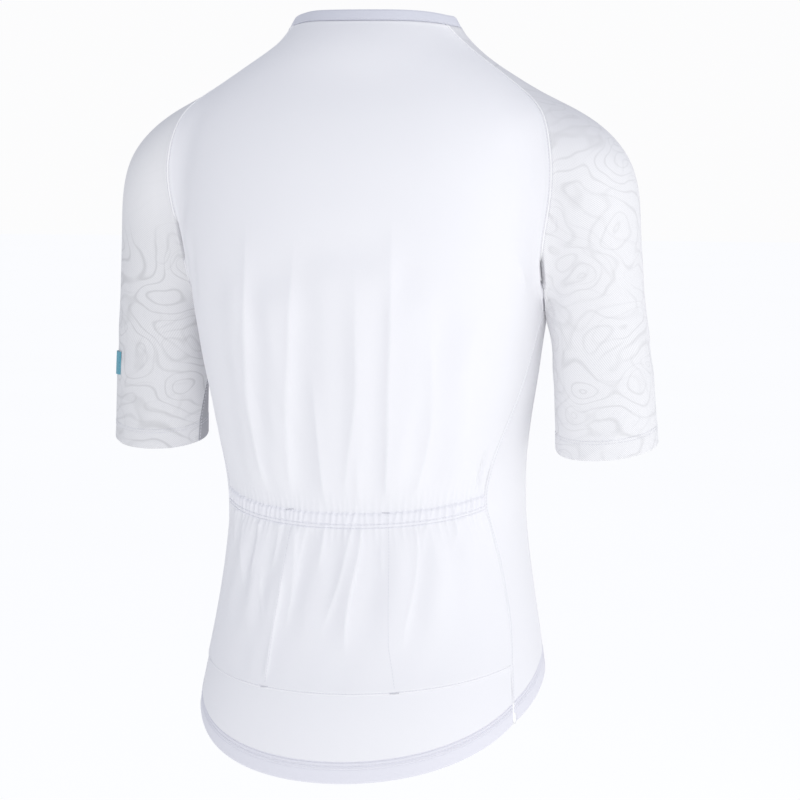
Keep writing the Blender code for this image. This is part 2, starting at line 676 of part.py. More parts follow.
def make_slider(line, normals):
    """The slider, with its bridge, and the pull tab hung on the bridge by its eye."""
    run = np.interp(line[1][2] - SLIDER_BELOW_NECK, line[::-1, 2], np.arange(len(line))[::-1])
    low = int(run)
    share = run - low
    seat = line[low] * (1 - share) + line[low + 1] * share
    normal = normals[low] * (1 - share) + normals[low + 1] * share
    lean = math.atan2(normal[2], -normal[1])
    frame = bpy.data.objects.new("slider_frame", None)
    bpy.context.collection.objects.link(frame)
    frame.location = seat - np.array((0, 0, SHOULDER_HEIGHT))
    frame.rotation_euler = (-lean, 0, 0)
    # In the slider's own axes: x across, z up along the zip, -y out from the chest.
    wide, tall, deep = SLIDER_SIZE
    face = SEAM_GAP + deep
    body = box((wide, deep, tall), (0, -SEAM_GAP - deep / 2, 0), SLIDER_BEVEL)
    slider = new_object("zip_slider", body, "zip_metal")
    bridge_wide, bridge_tall, bridge_deep = BRIDGE_SIZE
    bridge = box((bridge_wide, bridge_deep + BRIDGE_SUNK, bridge_tall),
                 (0, -face + BRIDGE_SUNK / 2 - bridge_deep / 2, 0), SMALL_BEVEL)
    guides = [cut_or_join(slider, bridge, "UNION")]
    tunnel = box((2 * bridge_wide, TUNNEL_TALL, TUNNEL_LONG), (0, -face - TUNNEL_TALL / 2, 0))
    guides.append(cut_or_join(slider, tunnel, "DIFFERENCE"))
    # The pull tab turns about its eye's top bar, in the middle of the tunnel.
    hinge = (0, -face - TUNNEL_TALL / 2, 0)
    bar_top = TAB_THICK / 2
    blade = box((TAB_WIDE, TAB_THICK, TAB_LONG), (0, 0, bar_top - TAB_LONG / 2), SMALL_BEVEL)
    tab = new_object("zip_pull", blade, "tab_rubber")
    eye = box((EYE_WIDE, 3 * TAB_THICK, EYE_LONG), (0, 0, -bar_top - EYE_LONG / 2))
    tab_guide = cut_or_join(tab, eye, "DIFFERENCE")
    tab_guide.parent = tab
    tab.location = hinge
    for piece in (slider, tab, *guides):
        piece.parent = frame


def make_patch():
    """The blank tab on the left sleeve, made on the arm's own form and moved out."""
    angles = np.linspace(PATCH_FRONT_ANGLE, PATCH_BACK_ANGLE, PATCH_COLUMNS + 1)
    heights = np.linspace(PATCH_FOOT + PATCH_TALL, PATCH_FOOT, PATCH_ROWS + 1)
    grid = np.array([[arm_point(angle, height) for angle in angles] for height in heights])
    panel("sleeve_tab", grid, outward(grid), "tab_rubber", wall=PATCH_WALL,
          out=SEAM_GAP + PATCH_WALL)


# ---------------------------------------------------------------- the jersey
def make_jersey():
    """Every piece of the jersey."""
    seams = Seams()
    back = back_grid(seams)
    back_normals = outward(back)
    front = front_grid(seams)
    front_normals = outward(front)
    band_top = RAGLAN_ROWS + BAND_TOP_ROW
    band_foot = RAGLAN_ROWS + BAND_FOOT_ROW
    pocket_foot = RAGLAN_ROWS + POCKET_FOOT_ROW
    hem = RAGLAN_ROWS + len(BODY_ROWS)
    upper, lower = slice(0, hem + 1), slice(hem, hem + 2)
    panel("back_panel", back[upper], back_normals[upper], "white_knit",
          out=fold_heights(back[upper], BACK_FOLDS), eased_row=RAGLAN_ROWS)
    band = slice(band_top, band_foot + 1)
    panel("pocket_band", back[band], back_normals[band], "band_elastic",
          wall=BAND_WALL, out=SEAM_GAP + BAND_WALL)
    pocket = slice(band_foot, pocket_foot + 1)
    panel("pocket_panel", back[pocket], back_normals[pocket], "white_knit",
          out=SEAM_GAP + WALL + fold_heights(back[pocket], POCKET_FOLDS))
    panel("hem_band_back", back[lower], back_normals[lower], "band_elastic", wall=BAND_WALL)
    pair("front", front[upper], front_normals[upper], "white_knit", eased_row=RAGLAN_ROWS)
    pair("hem_band", front[lower], front_normals[lower], "band_elastic", wall=BAND_WALL)
    sleeve = sleeve_grid(seams)
    pair("sleeve", sleeve, outward(sleeve), "print_mesh", eased_row=RAGLAN_ROWS)
    wedge = wedge_grid(seams)
    pair("underarm_wedge", wedge, outward(wedge), "grey_mesh")
    make_collar()
    line, normals = zip_line(seams)
    make_zip_tapes(line, normals)
    make_slider(line, normals)
    make_patch()


for old in list(bpy.data.objects):
    bpy.data.objects.remove(old, do_unlink=True)
make_jersey()
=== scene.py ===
# %% [markdown]
# # A cycling jersey, cell by cell
# The jersey keeps the hollow shape of its wearer. The CAD frame gives each panel as a plain
# faceted wall. Here each wall becomes a fine cloth shell on the same form, with seams, folds,
# gathers, stitches and a knitted surface.

# %% The frame
import math

import bmesh
import bpy
import numpy as np
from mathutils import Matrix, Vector
from mathutils.bvhtree import BVHTree


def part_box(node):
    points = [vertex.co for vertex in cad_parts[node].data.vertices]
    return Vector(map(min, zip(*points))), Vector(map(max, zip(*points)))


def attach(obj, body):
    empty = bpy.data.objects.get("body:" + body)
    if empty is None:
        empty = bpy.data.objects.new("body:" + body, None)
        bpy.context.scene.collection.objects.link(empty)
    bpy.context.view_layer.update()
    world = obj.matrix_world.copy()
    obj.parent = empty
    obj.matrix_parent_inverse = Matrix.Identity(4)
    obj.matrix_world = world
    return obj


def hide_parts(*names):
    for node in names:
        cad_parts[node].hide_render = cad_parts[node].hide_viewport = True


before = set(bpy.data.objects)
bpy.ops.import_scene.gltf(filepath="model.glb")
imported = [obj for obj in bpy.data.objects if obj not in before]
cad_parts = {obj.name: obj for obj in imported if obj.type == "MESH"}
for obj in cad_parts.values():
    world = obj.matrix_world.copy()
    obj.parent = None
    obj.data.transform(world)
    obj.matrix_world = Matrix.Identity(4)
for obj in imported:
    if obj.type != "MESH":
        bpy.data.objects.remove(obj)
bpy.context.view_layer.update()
bpy.ops.object.select_all(action="DESELECT")
MM = 0.001
print("nodes:", sorted(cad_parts))

# %% [markdown]
# ## Camera
# The jersey is seen from behind, 20 degrees round towards the wearer's right, from a little
# under four degrees above the middle. A long lens, four metres away, keeps the perspective
# as flat as a catalogue picture has it.

# %% The camera
CAMERA_PLACE = Vector((-1.368, 3.759, -0.038))
CAMERA_AIM = Vector((-0.0229, -0.0083, -0.3085))
CAMERA_LENS = 199.4

bpy.ops.object.camera_add(location=CAMERA_PLACE)
camera = bpy.context.object
camera.name = "camera"
camera.rotation_euler = (CAMERA_AIM - CAMERA_PLACE).to_track_quat("-Z", "Y").to_euler()
camera.data.lens = CAMERA_LENS
camera.data.sensor_width = 36
bpy.context.scene.camera = camera
print("camera", round((CAMERA_AIM - CAMERA_PLACE).length, 3), "m from its aim")

# %% [markdown]
# ## Shader maths as plain expressions
# A shader graph is a formula. The class below wraps one output of a node, so that a formula
# can be written as `1 - mask * 0.3` and Blender's Math nodes appear behind it.

# %% A small class for shader formulas
class Ink:
    """One socket of a material's node tree, with arithmetic."""

    def __init__(self, tree, socket):
        self.tree, self.socket = tree, socket

    def node(self, kind, settings=None, out=0, **sockets):
        """A node of that type, with its settings made first and then its sockets, which go by
        their names or, as i0, i1 and so on, by their numbers."""
        made = self.tree.nodes.new(kind)
        for key, value in (settings or {}).items():
            setattr(made, key, value)
        for key, value in sockets.items():
            target = made.inputs[int(key[1:]) if key[1:].isdigit() else key.replace("_", " ")]
            if isinstance(value, Ink):
                self.tree.links.new(value.socket, target)
            else:
                target.default_value = value
        return Ink(self.tree, made.outputs[out])

    def maths(operation, order=1):
        """A method that sends the socket, and a value if there is one, through a Math node."""
        def method(self, *others):
            values = dict(zip(("i0", "i1"), (self, *others)[::order]))
            return self.node("ShaderNodeMath", {"operation": operation}, **values)
        return method

    __add__, __mul__ = maths("ADD"), maths("MULTIPLY")
    __sub__, __rsub__ = maths("SUBTRACT"), maths("SUBTRACT", -1)
    sine, size, fraction = maths("SINE"), maths("ABSOLUTE"), maths("FRACT")

    def step(self, low, high):
        """0 below low, 1 above high and a smooth ramp between."""
        settings = {"interpolation_type": "SMOOTHSTEP"}
        return self.node("ShaderNodeMapRange", settings, Value=self, From_Min=low, From_Max=high)


# %% What every finish starts from
SPECULAR = 0.3
finishes = {}  # by name, for the CAD has materials of its own


def grey(level, blue=None):
    """A grey or, with its own amount of blue, a cool or a warm one."""
    return (level, level, level if blue is None else blue, 1)


def between(mask, low, high):
    """A colour that runs from low to high as the mask runs from 0 to 1."""
    return mask.node("ShaderNodeMix", {"data_type": "RGBA"}, 2, i0=mask, i6=low, i7=high)


def new_finish(name, roughness, sheen=0.0, metallic=0.0):
    """A material's shader, and a first Ink to write formulas from."""
    finish = finishes[name] = bpy.data.materials.new(name)
    finish.use_nodes = True
    shader = finish.node_tree.nodes["Principled BSDF"]
    for key, value in (("Roughness", roughness), ("Sheen Weight", sheen),
                       ("Metallic", metallic), ("Specular IOR Level", SPECULAR)):
        shader.inputs[key].default_value = value
    return shader, Ink(finish.node_tree, None)


def paint(ink, shader, colour, *relief):
    """Feeds a shader its colour and, by a Bump node, a relief's height, strength and depth."""
    ink.tree.links.new(colour.socket, shader.inputs["Base Color"])
    if relief:
        height, strength, depth = relief
        bump = ink.node("ShaderNodeBump", Height=height, Strength=strength, Distance=depth)
        ink.tree.links.new(bump.socket, shader.inputs["Normal"])


def place_in(ink, source="Object"):
    """Object coordinates in metres, or the piece's own UV map, whole and as x, y and z."""
    where = ink.node("ShaderNodeTexCoord", None, source)
    split = ink.node("ShaderNodeSeparateXYZ", Vector=where).socket.node
    return [where] + [Ink(ink.tree, output) for output in split.outputs]


def cloud(ink, scale, detail=2.0):
    """Soft noise from 0 to 1, in object coordinates."""
    return ink.node("ShaderNodeTexNoise", Vector=place_in(ink)[0], Scale=scale, Detail=detail)

# %% [markdown]
# ## Floor and light
# A pale floor lies well below the hem, so that the garment's shadow stays out of the way. A
# bright sky lights the white cloth from all round, and the camera sees a plain backdrop in
# its place. Four soft lamps stand on the side of the wearer's right, so that the folds' left
# flanks turn grey.

# %% Floor, sky and lamps
FLOOR_HEIGHT, FLOOR_SIZE, FLOOR_GLOW = -1.15, 60, 0.745
SKY_COLOUR, SKY_STRENGTH = (0.87, 0.90, 1.0, 1.0), 0.63
BACKDROP_COLOUR = (0.975, 0.975, 0.98, 1.0)
LAMP_COLOUR, LAMP_SIZE = (1.0, 0.985, 0.95), 1.5
LAMPS_AIM = Vector((0, 0, -0.3))
# name: place, power in watts
LAMPS = {
    "front_lamp": ((-1.73, 3.55, 0.33), 26.0),
    "high_lamp": ((-2.06, 2.14, 2.38), 17.5),
    "side_lamp": ((-3.88, 0.68, 0.39), 6.5),
    "edge_lamp": ((-3.78, -1.25, 0.30), 19.0),
}

bpy.ops.mesh.primitive_plane_add(size=FLOOR_SIZE, location=(0, 0, FLOOR_HEIGHT))
floor = bpy.context.object
floor.name = "floor"

shader, ink = new_finish("studio_floor", 0.9)
paint(ink, shader, between(cloud(ink, 0.7), grey(0.39), grey(0.41)))
shader.inputs["Specular IOR Level"].default_value = 0.0
shader.inputs["Emission Color"].default_value = grey(1.0)
shader.inputs["Emission Strength"].default_value = FLOOR_GLOW
floor.data.materials.append(finishes["studio_floor"])

world = bpy.data.worlds.new("sky")
bpy.context.scene.world = world
world.use_nodes = True
ink = Ink(world.node_tree, None)
sky = ink.node("ShaderNodeBackground", Color=SKY_COLOUR, Strength=SKY_STRENGTH)
backdrop = ink.node("ShaderNodeBackground", Color=BACKDROP_COLOUR)
from_camera = ink.node("ShaderNodeLightPath", None, "Is Camera Ray")
mixed = ink.node("ShaderNodeMixShader", i0=from_camera, i1=sky, i2=backdrop)
world.node_tree.links.new(mixed.socket, world.node_tree.nodes["World Output"].inputs[0])

for name, (place, power) in LAMPS.items():
    bpy.ops.object.light_add(type="AREA", location=place)
    lamp = bpy.context.object
    lamp.name = name
    lamp.rotation_euler = (LAMPS_AIM - Vector(place)).to_track_quat("-Z", "Y").to_euler()
    lamp.data.size = LAMP_SIZE
    lamp.data.energy = power
    lamp.data.color = LAMP_COLOUR
bpy.context.scene.view_settings.view_transform = "Standard"

# %% [markdown]
# ## Cloth finishes
# The body is a fine smooth knit. Its columns of stitches, the wales, are 0.7 mm apart, and
# the UV map holds real metres along and across the cloth, so the wales follow each panel.

# %% The finishes of the knits
WALE, BAND_WALE = 0.7 * MM, 1.1 * MM
COURSE = 0.8  # height of one row of stitches, in wales
KNIT_RELIEF = (0.25, 0.12 * MM)


def knit(name, light, dark, roughness, wale=WALE):
    """A plain fine knit: wales down the cloth, courses across it, soft unevenness."""
    shader, ink = new_finish(name, roughness, sheen=0.15)
    _, across, along, _ = place_in(ink, "UV")
    wales = (across * (math.tau / wale)).sine()
    courses = (along * (math.tau / (wale * COURSE)) + wales * 1.2).sine()
    paint(ink, shader, between(cloud(ink, 9.0, 3.0), light, dark), wales * 0.6 + courses * 0.4,
          *KNIT_RELIEF)


knit("body_knit", grey(0.875, 0.90), grey(0.855, 0.885), 0.72)
knit("band_knit", grey(0.865, 0.90), grey(0.845, 0.885), 0.7, BAND_WALE)
knit("collar_knit", (0.70, 0.71, 0.78, 1), (0.67, 0.68, 0.75, 1), 0.7)
knit("hem_knit", grey(0.80, 0.86), grey(0.77, 0.83), 0.62)

# %% [markdown]
# ## The sleeves' mesh and its contour pattern
# The sleeves are a pierced mesh with a printed pattern of contour lines, as on a map of
# hills. Here smooth noise gives the heights of made-up hills and each line is a level of
# them, so the pattern is nobody's drawing.

# %% Holes and contour lines
HOLE_PITCH = 1.9 * MM
HOLE_EDGE = (0.45, 0.95)  # where a hole begins, and where it is quite open
HOLE_RELIEF = (0.4, 0.3 * MM)
RING_PITCH = 5.6 * MM  # from one contour line to the next
RING_BEND = 0.045  # how far noise pushes the hills out of round


def pierced(ink):
    """1 at the mesh's small holes, set in diagonal rows, and 0 between them."""
    _, across, along, _ = place_in(ink, "UV")
    first, second = ((way * (math.pi / HOLE_PITCH)).sine()
                     for way in (across + along, across - along))
    return (first * second).size().step(*HOLE_EDGE)


def contours(ink, where, sides, shift, width):
    """1 along evenly spaced rings round scattered hill tops."""
    bent = ink.node("ShaderNodeTexNoise", None, 1, Vector=where, Scale=17.0, Detail=1.5)
    moved = ink.node("ShaderNodeMix", {"data_type": "VECTOR"}, 1, i0=RING_BEND, i4=where, i5=bent)
    hills = ink.node("ShaderNodeMapping", Vector=moved, Location=shift, Scale=sides)
    tops = ink.node("ShaderNodeTexVoronoi", {"feature": "SMOOTH_F1"}, Vector=hills, Scale=1.0,
                    Smoothness=0.7, Randomness=1.0)
    off = ((tops * (1 / (RING_PITCH * max(sides)))).fraction() - 0.5).size()
    return 1 - off.step(0.0, width)


# %% The finishes of the sleeves and of the wedges under the arms
LARGE_HILLS, SMALL_HILLS = (17.0, 17.0, 24.0), (25.0, 25.0, 38.0)
# Painted shade: between these heights a sleeve's cloth turns grey over the shoulder.
SHOULDER = (-0.11, -0.05)  # heights between which a sleeve turns over the shoulder
# from how far below a height the print and the holes fade, and to how far above it
PRINT_FADE, HOLE_FADE = (-0.012, 0.03), (-0.02, 0.03)
PATCHES = (0.40, 0.62)  # where the large rings give way to the small ones
# the colour of the painted shade over the shoulder
SHOULDER_PAINTED_SHADE = grey(0.58, 0.62)
# The holes are painted grey, as the shade seen through them. The ink grey is the print's own
# colour.
HOLE_PAINTED_SHADE, INK_GREY = grey(0.60, 0.62), grey(0.50, 0.51)


def printed_mesh(name, shift, top, mesh, pale, strength, shoulder_shade):
    """Pierced mesh with rings. The print fades out above top, and the holes above mesh. Pale
    is the bare cloth's lightness, and the last argument is how much painted shade greys it over
    the shoulder."""
    shader, ink = new_finish(name, 0.75, sheen=0.1)
    where, _, _, z = place_in(ink)
    high = z.step(*(top + fade for fade in PRINT_FADE))
    holes = pierced(ink) * (1 - z.step(*(mesh + fade for fade in HOLE_FADE)) * 0.8)
    rings = contours(ink, where, LARGE_HILLS, shift, 0.17)
    fine = contours(ink, where, SMALL_HILLS, shift, 0.20)
    patchy = cloud(ink, 21.0, 1.0).step(*PATCHES)
    lines = (rings * (patchy * 0.7 + 0.3)) + fine * (1 - patchy) * 0.6
    lines = lines * (1 - high * 0.94)
    # Painted shade over the shoulder, mixed into the bare cloth's colour.
    bare = between(z.step(*SHOULDER) * shoulder_shade, grey(pale, pale * 1.017), SHOULDER_PAINTED_SHADE)
    cloth = between(holes * 0.8, bare, HOLE_PAINTED_SHADE)
    paint(ink, shader, between(lines * strength, cloth, INK_GREY), 1 - holes, *HOLE_RELIEF)


# Both sleeves are the same cloth. The left one, turned from the lamps, has its lightness lowered
# as painted shade (0.81 against 0.885), and the right one takes more painted shade over the
# shoulder.
printed_mesh("sleeve_left_mesh", (0.3, 1.1, 0.4), -0.172, -0.15, 0.81, 0.46, 0.1)
printed_mesh("sleeve_right_mesh", (2.7, 0.2, 1.9), 0.2, -0.10, 0.885, 0.29, 0.5)

shader, ink = new_finish("underarm_mesh", 0.8, sheen=0.1)
holes = pierced(ink)
# The grey cloth is the wedges' own colour. The darker holes are painted shade, seen through them.
paint(ink, shader, between(holes, grey(0.44, 0.465), (0.30, 0.305, 0.33, 1)), 1 - holes,
      *HOLE_RELIEF)

# %% [markdown]
# ## Threads, tapes and the zip's hard parts
# Thread is twisted, which shows as slanting ridges. Tapes are woven, with ribs along them.
# The slider is die-cast metal with a pale coat, and the pull tab is soft moulded rubber.

# %% Small finishes
TWIST, THREAD_RELIEF = 0.6 * MM, (0.3, 0.08 * MM)
PICK, WEAVE_RELIEF = 0.6, (0.35, 0.15 * MM)  # a pick's height is counted in ribs
GRAIN_RELIEF = (0.12, 0.06 * MM)


def thread(name, light, dark):
    """Twisted thread: fine slanting ridges with a little unevenness."""
    shader, ink = new_finish(name, 0.55, sheen=0.2)
    _, x, y, z = place_in(ink)
    twist = ((x + y + z) * (math.tau / TWIST)).sine()
    paint(ink, shader, between(cloud(ink, 60.0), light, dark), twist, *THREAD_RELIEF)


def weave(name, light, dark, rib):
    """A woven tape: ribs along it, crossed by finer picks."""
    shader, ink = new_finish(name, 0.65, sheen=0.1)
    _, across, along, _ = place_in(ink, "UV")
    ribs, picks = (across * (math.tau / rib)).sine(), (along * (math.tau / (rib * PICK))).sine()
    shade = (ribs * picks) * 0.25 + cloud(ink, 30.0) * 0.8
    paint(ink, shader, between(shade, light, dark), ribs + picks * 0.6, *WEAVE_RELIEF)


def cast(name, light, dark, roughness, metallic, grain):
    """A small hard part: fine grain, and rubbed lighter in patches."""
    shader, ink = new_finish(name, roughness, metallic=metallic)
    worn = cloud(ink, 160.0).step(0.45, 0.75)
    paint(ink, shader, between(worn, light, dark), cloud(ink, grain, 3.0), *GRAIN_RELIEF)
    ink.tree.links.new((worn * 0.15 + roughness).socket, shader.inputs["Roughness"])


# The white thread is painted a little darker than the cloth, as painted shade along the stitch
# lines.
thread("thread_white", grey(0.80, 0.84), grey(0.74, 0.79))
thread("thread_grey", grey(0.70, 0.74), grey(0.64, 0.68))
thread("thread_blue", (0.11, 0.36, 0.47, 1), (0.09, 0.32, 0.43, 1))
thread("piping_satin", grey(0.96, 0.97), grey(0.93, 0.94))
weave("tape_weave", grey(0.80, 0.84), grey(0.74, 0.79), 0.8 * MM)
weave("tab_weave", (0.13, 0.41, 0.52, 1), (0.10, 0.36, 0.47, 1), 0.7 * MM)
cast("teeth_nylon", grey(0.78, 0.81), grey(0.70, 0.74), 0.35, 0.0, 900.0)
cast("slider_metal", (0.62, 0.63, 0.65, 1), (0.50, 0.51, 0.53, 1), 0.32, 1.0, 700.0)
cast("pull_rubber", (0.72, 0.73, 0.75, 1), (0.66, 0.67, 0.69, 1), 0.55, 0.0, 1500.0)

# %% [markdown]
# ## Reading a panel back from the frame
# Every CAD panel is a grid of points with a wall behind it, but the frame only holds loose
# triangles. The next cells find the outer skin again and put its points back in rows: they
# pair each point with the one straight behind it, walk round the skin's rim, find the four
# corners, and fill in the rows between them.

# %% Rows and columns of each panel
def both_sides(table):
    """A table by node in which * stands for left and then for right."""
    whole = {}
    for node, row in table.items():
        for side in ("left", "right") if "*" in node else ("",):
            whole[node.replace("*", side)] = tuple(
                cell.replace("*", side) if isinstance(cell, str) else cell for cell in row)
    return whole


# node: cells across, cells down, axis that the first row runs along, CAD wall (mm), fine
# parts in each cell, across and down, and rows of cells with more parts
PANELS = both_sides({
    "back_panel": (28, 21, 0, 1.2, 12, 5, ()), "pocket_band": (28, 1, 0, 1.6, 12, 10, (0,)),
    "pocket_panel": (28, 4, 0, 1.2, 12, 12, ()), "hem_band_back": (28, 1, 0, 1.6, 8, 10, (0,)),
    "front_*": (14, 21, 0, 1.2, 9, 6, ()), "hem_band_*": (14, 1, 0, 1.6, 8, 9, (0,)),
    "sleeve_*": (20, 15, 1, 1.2, 8, 8, (14,)), "underarm_wedge_*": (4, 3, 1, 1.2, 6, 10, (2,)),
    "collar_band": (48, 2, 0, 1.6, 6, 6, ()), "zip_tape_*": (1, 23, 0, 1.4, 4, 8, ()),
    "sleeve_tab": (4, 2, 1, 0.8, 6, 6, ()),
})
ARM_MIDDLE = np.array((0.17, -0.01, -0.22))


# %% A panel's outer skin
def outer_points(node):
    """A CAD panel's merged points, their partners behind and their neighbours, and the outer
    skin's points and faces."""
    shape = bmesh.new()
    shape.from_mesh(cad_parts[node].data)
    bmesh.ops.remove_doubles(shape, verts=shape.verts, dist=1e-5)
    points = np.array([corner.co[:] for corner in shape.verts])
    near = [{edge.other_vert(corner).index for edge in corner.link_edges}
            for corner in shape.verts]
    faces = [tuple(corner.index for corner in face.verts) for face in shape.faces]
    shape.free()
    wall = PANELS[node][3] * MM
    apart = np.linalg.norm(points[:, None] - points, axis=2)
    behind = np.abs(apart - wall).argmin(axis=1)
    skin, fresh = {0}, [0]
    while fresh:
        here = fresh.pop()
        for there in near[here] - skin:
            if there != behind[here] and behind[there] in near[behind[here]]:
                skin.add(there)
                fresh.append(there)
    if node.startswith(("sleeve", "underarm")):
        out = points - ARM_MIDDLE * (np.sign(points[:, 0].mean()), 1, 1)
    else:
        out = points * (1, 1, 0)
    chosen = sorted(skin)
    if ((points[chosen] - points[behind[chosen]]) * out[chosen]).sum() < 0:
        skin = set(range(len(points))) - skin
    return points, behind, near, skin, [face for face in faces if skin.issuperset(face)]


def rim_of(faces):
    """The skin's edge points, in order all the way round."""
    sides = {}
    for face in faces:
        for ends in zip(face, face[1:] + face[:1]):
            sides[tuple(sorted(ends))] = sides.get(tuple(sorted(ends)), 0) + 1
    beside = {}
    for (first, second), count in sides.items():
        if count == 1:
            beside.setdefault(first, []).append(second)
            beside.setdefault(second, []).append(first)
    start = min(beside)
    loop = [start, beside[start][0]]
    while len(loop) < len(beside):
        loop += [index for index in beside[loop[-1]] if index != loop[-2]][:1]
    return np.array(loop)


# %% From the skin back to a grid
def unit(vectors):
    """The vectors at a length of 1."""
    return vectors / np.linalg.norm(vectors, axis=-1, keepdims=True)


def cad_grid(node):
    """A CAD panel's outer skin as rows of points from the top, and the way out at each."""
    across, down, axis = PANELS[node][:3]
    points, behind, near, skin, faces = outer_points(node)
    loop = rim_of(faces)
    count = 2 * (across + down)
    assert len(loop) == count, (node, len(loop))
    touching = np.bincount(np.array(faces).ravel(), minlength=len(points))
    corners = np.array((0, across, across + down, 2 * across + down))
    scores = [touching[loop[(start + corners) % count]].sum() for start in range(count)]
    rim = np.roll(loop, -np.argmin(scores))
    grid = np.full((down + 1, across + 1), -1)
    grid[0] = rim[:across + 1]
    grid[:, across] = rim[across:across + down + 1]
    grid[down] = rim[across + down:2 * across + down + 1][::-1]
    grid[1:, 0] = rim[2 * across + down:][::-1]
    for row in range(1, down):
        for column in range(1, across):
            both = near[grid[row, column - 1]] & near[grid[row - 1, column]] & skin
            grid[row, column] = min(both - set(grid.ravel()))
    if points[grid[-1], 2].mean() > points[grid[0], 2].mean():
        grid = grid[::-1]
    sense = -1 if axis == 0 and node.endswith("right") else 1
    if sense * (points[grid[0, -1], axis] - points[grid[0, 0], axis]) < 0:
        grid = grid[:, ::-1]
    return points[grid], unit(points[grid] - points[behind[grid]])


def spacing(points, axis=0):
    """Distances from each point of a line or a grid to the next."""
    return np.linalg.norm(np.diff(points, axis=axis), axis=-1)


grids = {node: cad_grid(node) for node in PANELS}
for node, (points, _) in grids.items():
    print(f"{node}: {points.shape[:2]}, widest row {spacing(points, 1).sum(1).max():.3f} m")

# %% [markdown]
# ## From a coarse grid to a smooth surface
# The panels' points lie 10 to 40 mm apart. A cubic spline through them, first down the
# columns and then along the rows, gives the smooth form between. Neighbouring panels share
# the points of their seam, so their splines meet there too. The armhole seam turns a corner
# at the armpit, and there the spline is broken, or it would swing out past the corner.

# %% Splines
def spline(knots, values, at):
    """A smooth cubic curve through the values, with the same bend in its last two cells."""
    count = len(knots)
    steps = np.diff(knots)
    flat = values.reshape(count, -1)
    bends = np.zeros(flat.shape)
    if count > 2:
        matrix = np.eye(count)
        matrix[0, 1] = matrix[-1, -2] = -1
        rates = np.diff(flat, axis=0) / steps[:, None]
        for row in range(1, count - 1):
            before, after = steps[row - 1], steps[row]
            matrix[row, row - 1:row + 2] = before, 2 * (before + after), after
            bends[row] = 6 * (rates[row] - rates[row - 1])
        bends = np.linalg.solve(matrix, bends)
    cell = np.clip(np.searchsorted(knots, at, side="right") - 1, 0, count - 2)
    width = steps[cell][:, None]
    right = (at - knots[cell])[:, None] / width
    left = 1 - right
    result = left * flat[cell] + right * flat[cell + 1]
    result += ((left ** 3 - left) * bends[cell]
               + (right ** 3 - right) * bends[cell + 1]) * width ** 2 / 6
    return result.reshape((len(at),) + values.shape[1:])


def sums(steps):
    """The length so far at each point, from the steps between them."""
    return np.concatenate(([0], np.cumsum(steps)))


def smooth(value):
    """0 below 0, 1 above 1, and an S between."""
    share = np.clip(value, 0.0, 1.0)
    return share * share * (3 - 2 * share)


def spread(points, shares):
    """The points of each row moved along it, to the given shares of its length."""
    runs = [sums(spacing(row)) for row in points]
    return np.stack([spline(run, row, shares * run[-1]) for run, row in zip(runs, points)])


# %% Fine lines across and down a panel
EDGE_STEPS = np.array((0.35, 0.8, 1.3, 1.8, 2.3, 2.8, 3.4, 4.1, 5.0, 6.0)) * MM
EDGE_SHARE = 0.4  # the part of a panel's size that the steps may take
LEAST_GAP = 0.25 * MM  # between a step and a line that is there already
CLOSER = 4  # times as many lines, where there are narrow grooves


def marks(knots, parts, close=()):
    """Places of the fine lines, counted in cells, closer together next to both edges. Close
    are the cells that take more lines than the rest."""
    cells = len(knots) - 1
    counts = [parts * (CLOSER if place in close else 1) for place in range(cells)]
    even = np.concatenate([place + np.arange(count) / count
                           for place, count in enumerate(counts)] + [[cells]])
    for step in EDGE_STEPS[EDGE_STEPS < EDGE_SHARE * knots[-1]]:
        for place in (step / knots[1], cells - step / (knots[-1] - knots[-2])):
            if np.abs(even - place).min() > LEAST_GAP / knots[1]:
                even = np.append(even, place)
    return np.sort(even)


# %% A panel as a fine grid
ARMPIT_ROW = 10
# node: whether its first and its last column turn the armpit's corner
CORNERED = both_sides({"back_panel": (1, 1), "front_*": (0, 1), "sleeve_*": (1, 1)})
SEAM_REACH = 0.2 * MM  # how far an edge is let out, so that seams close


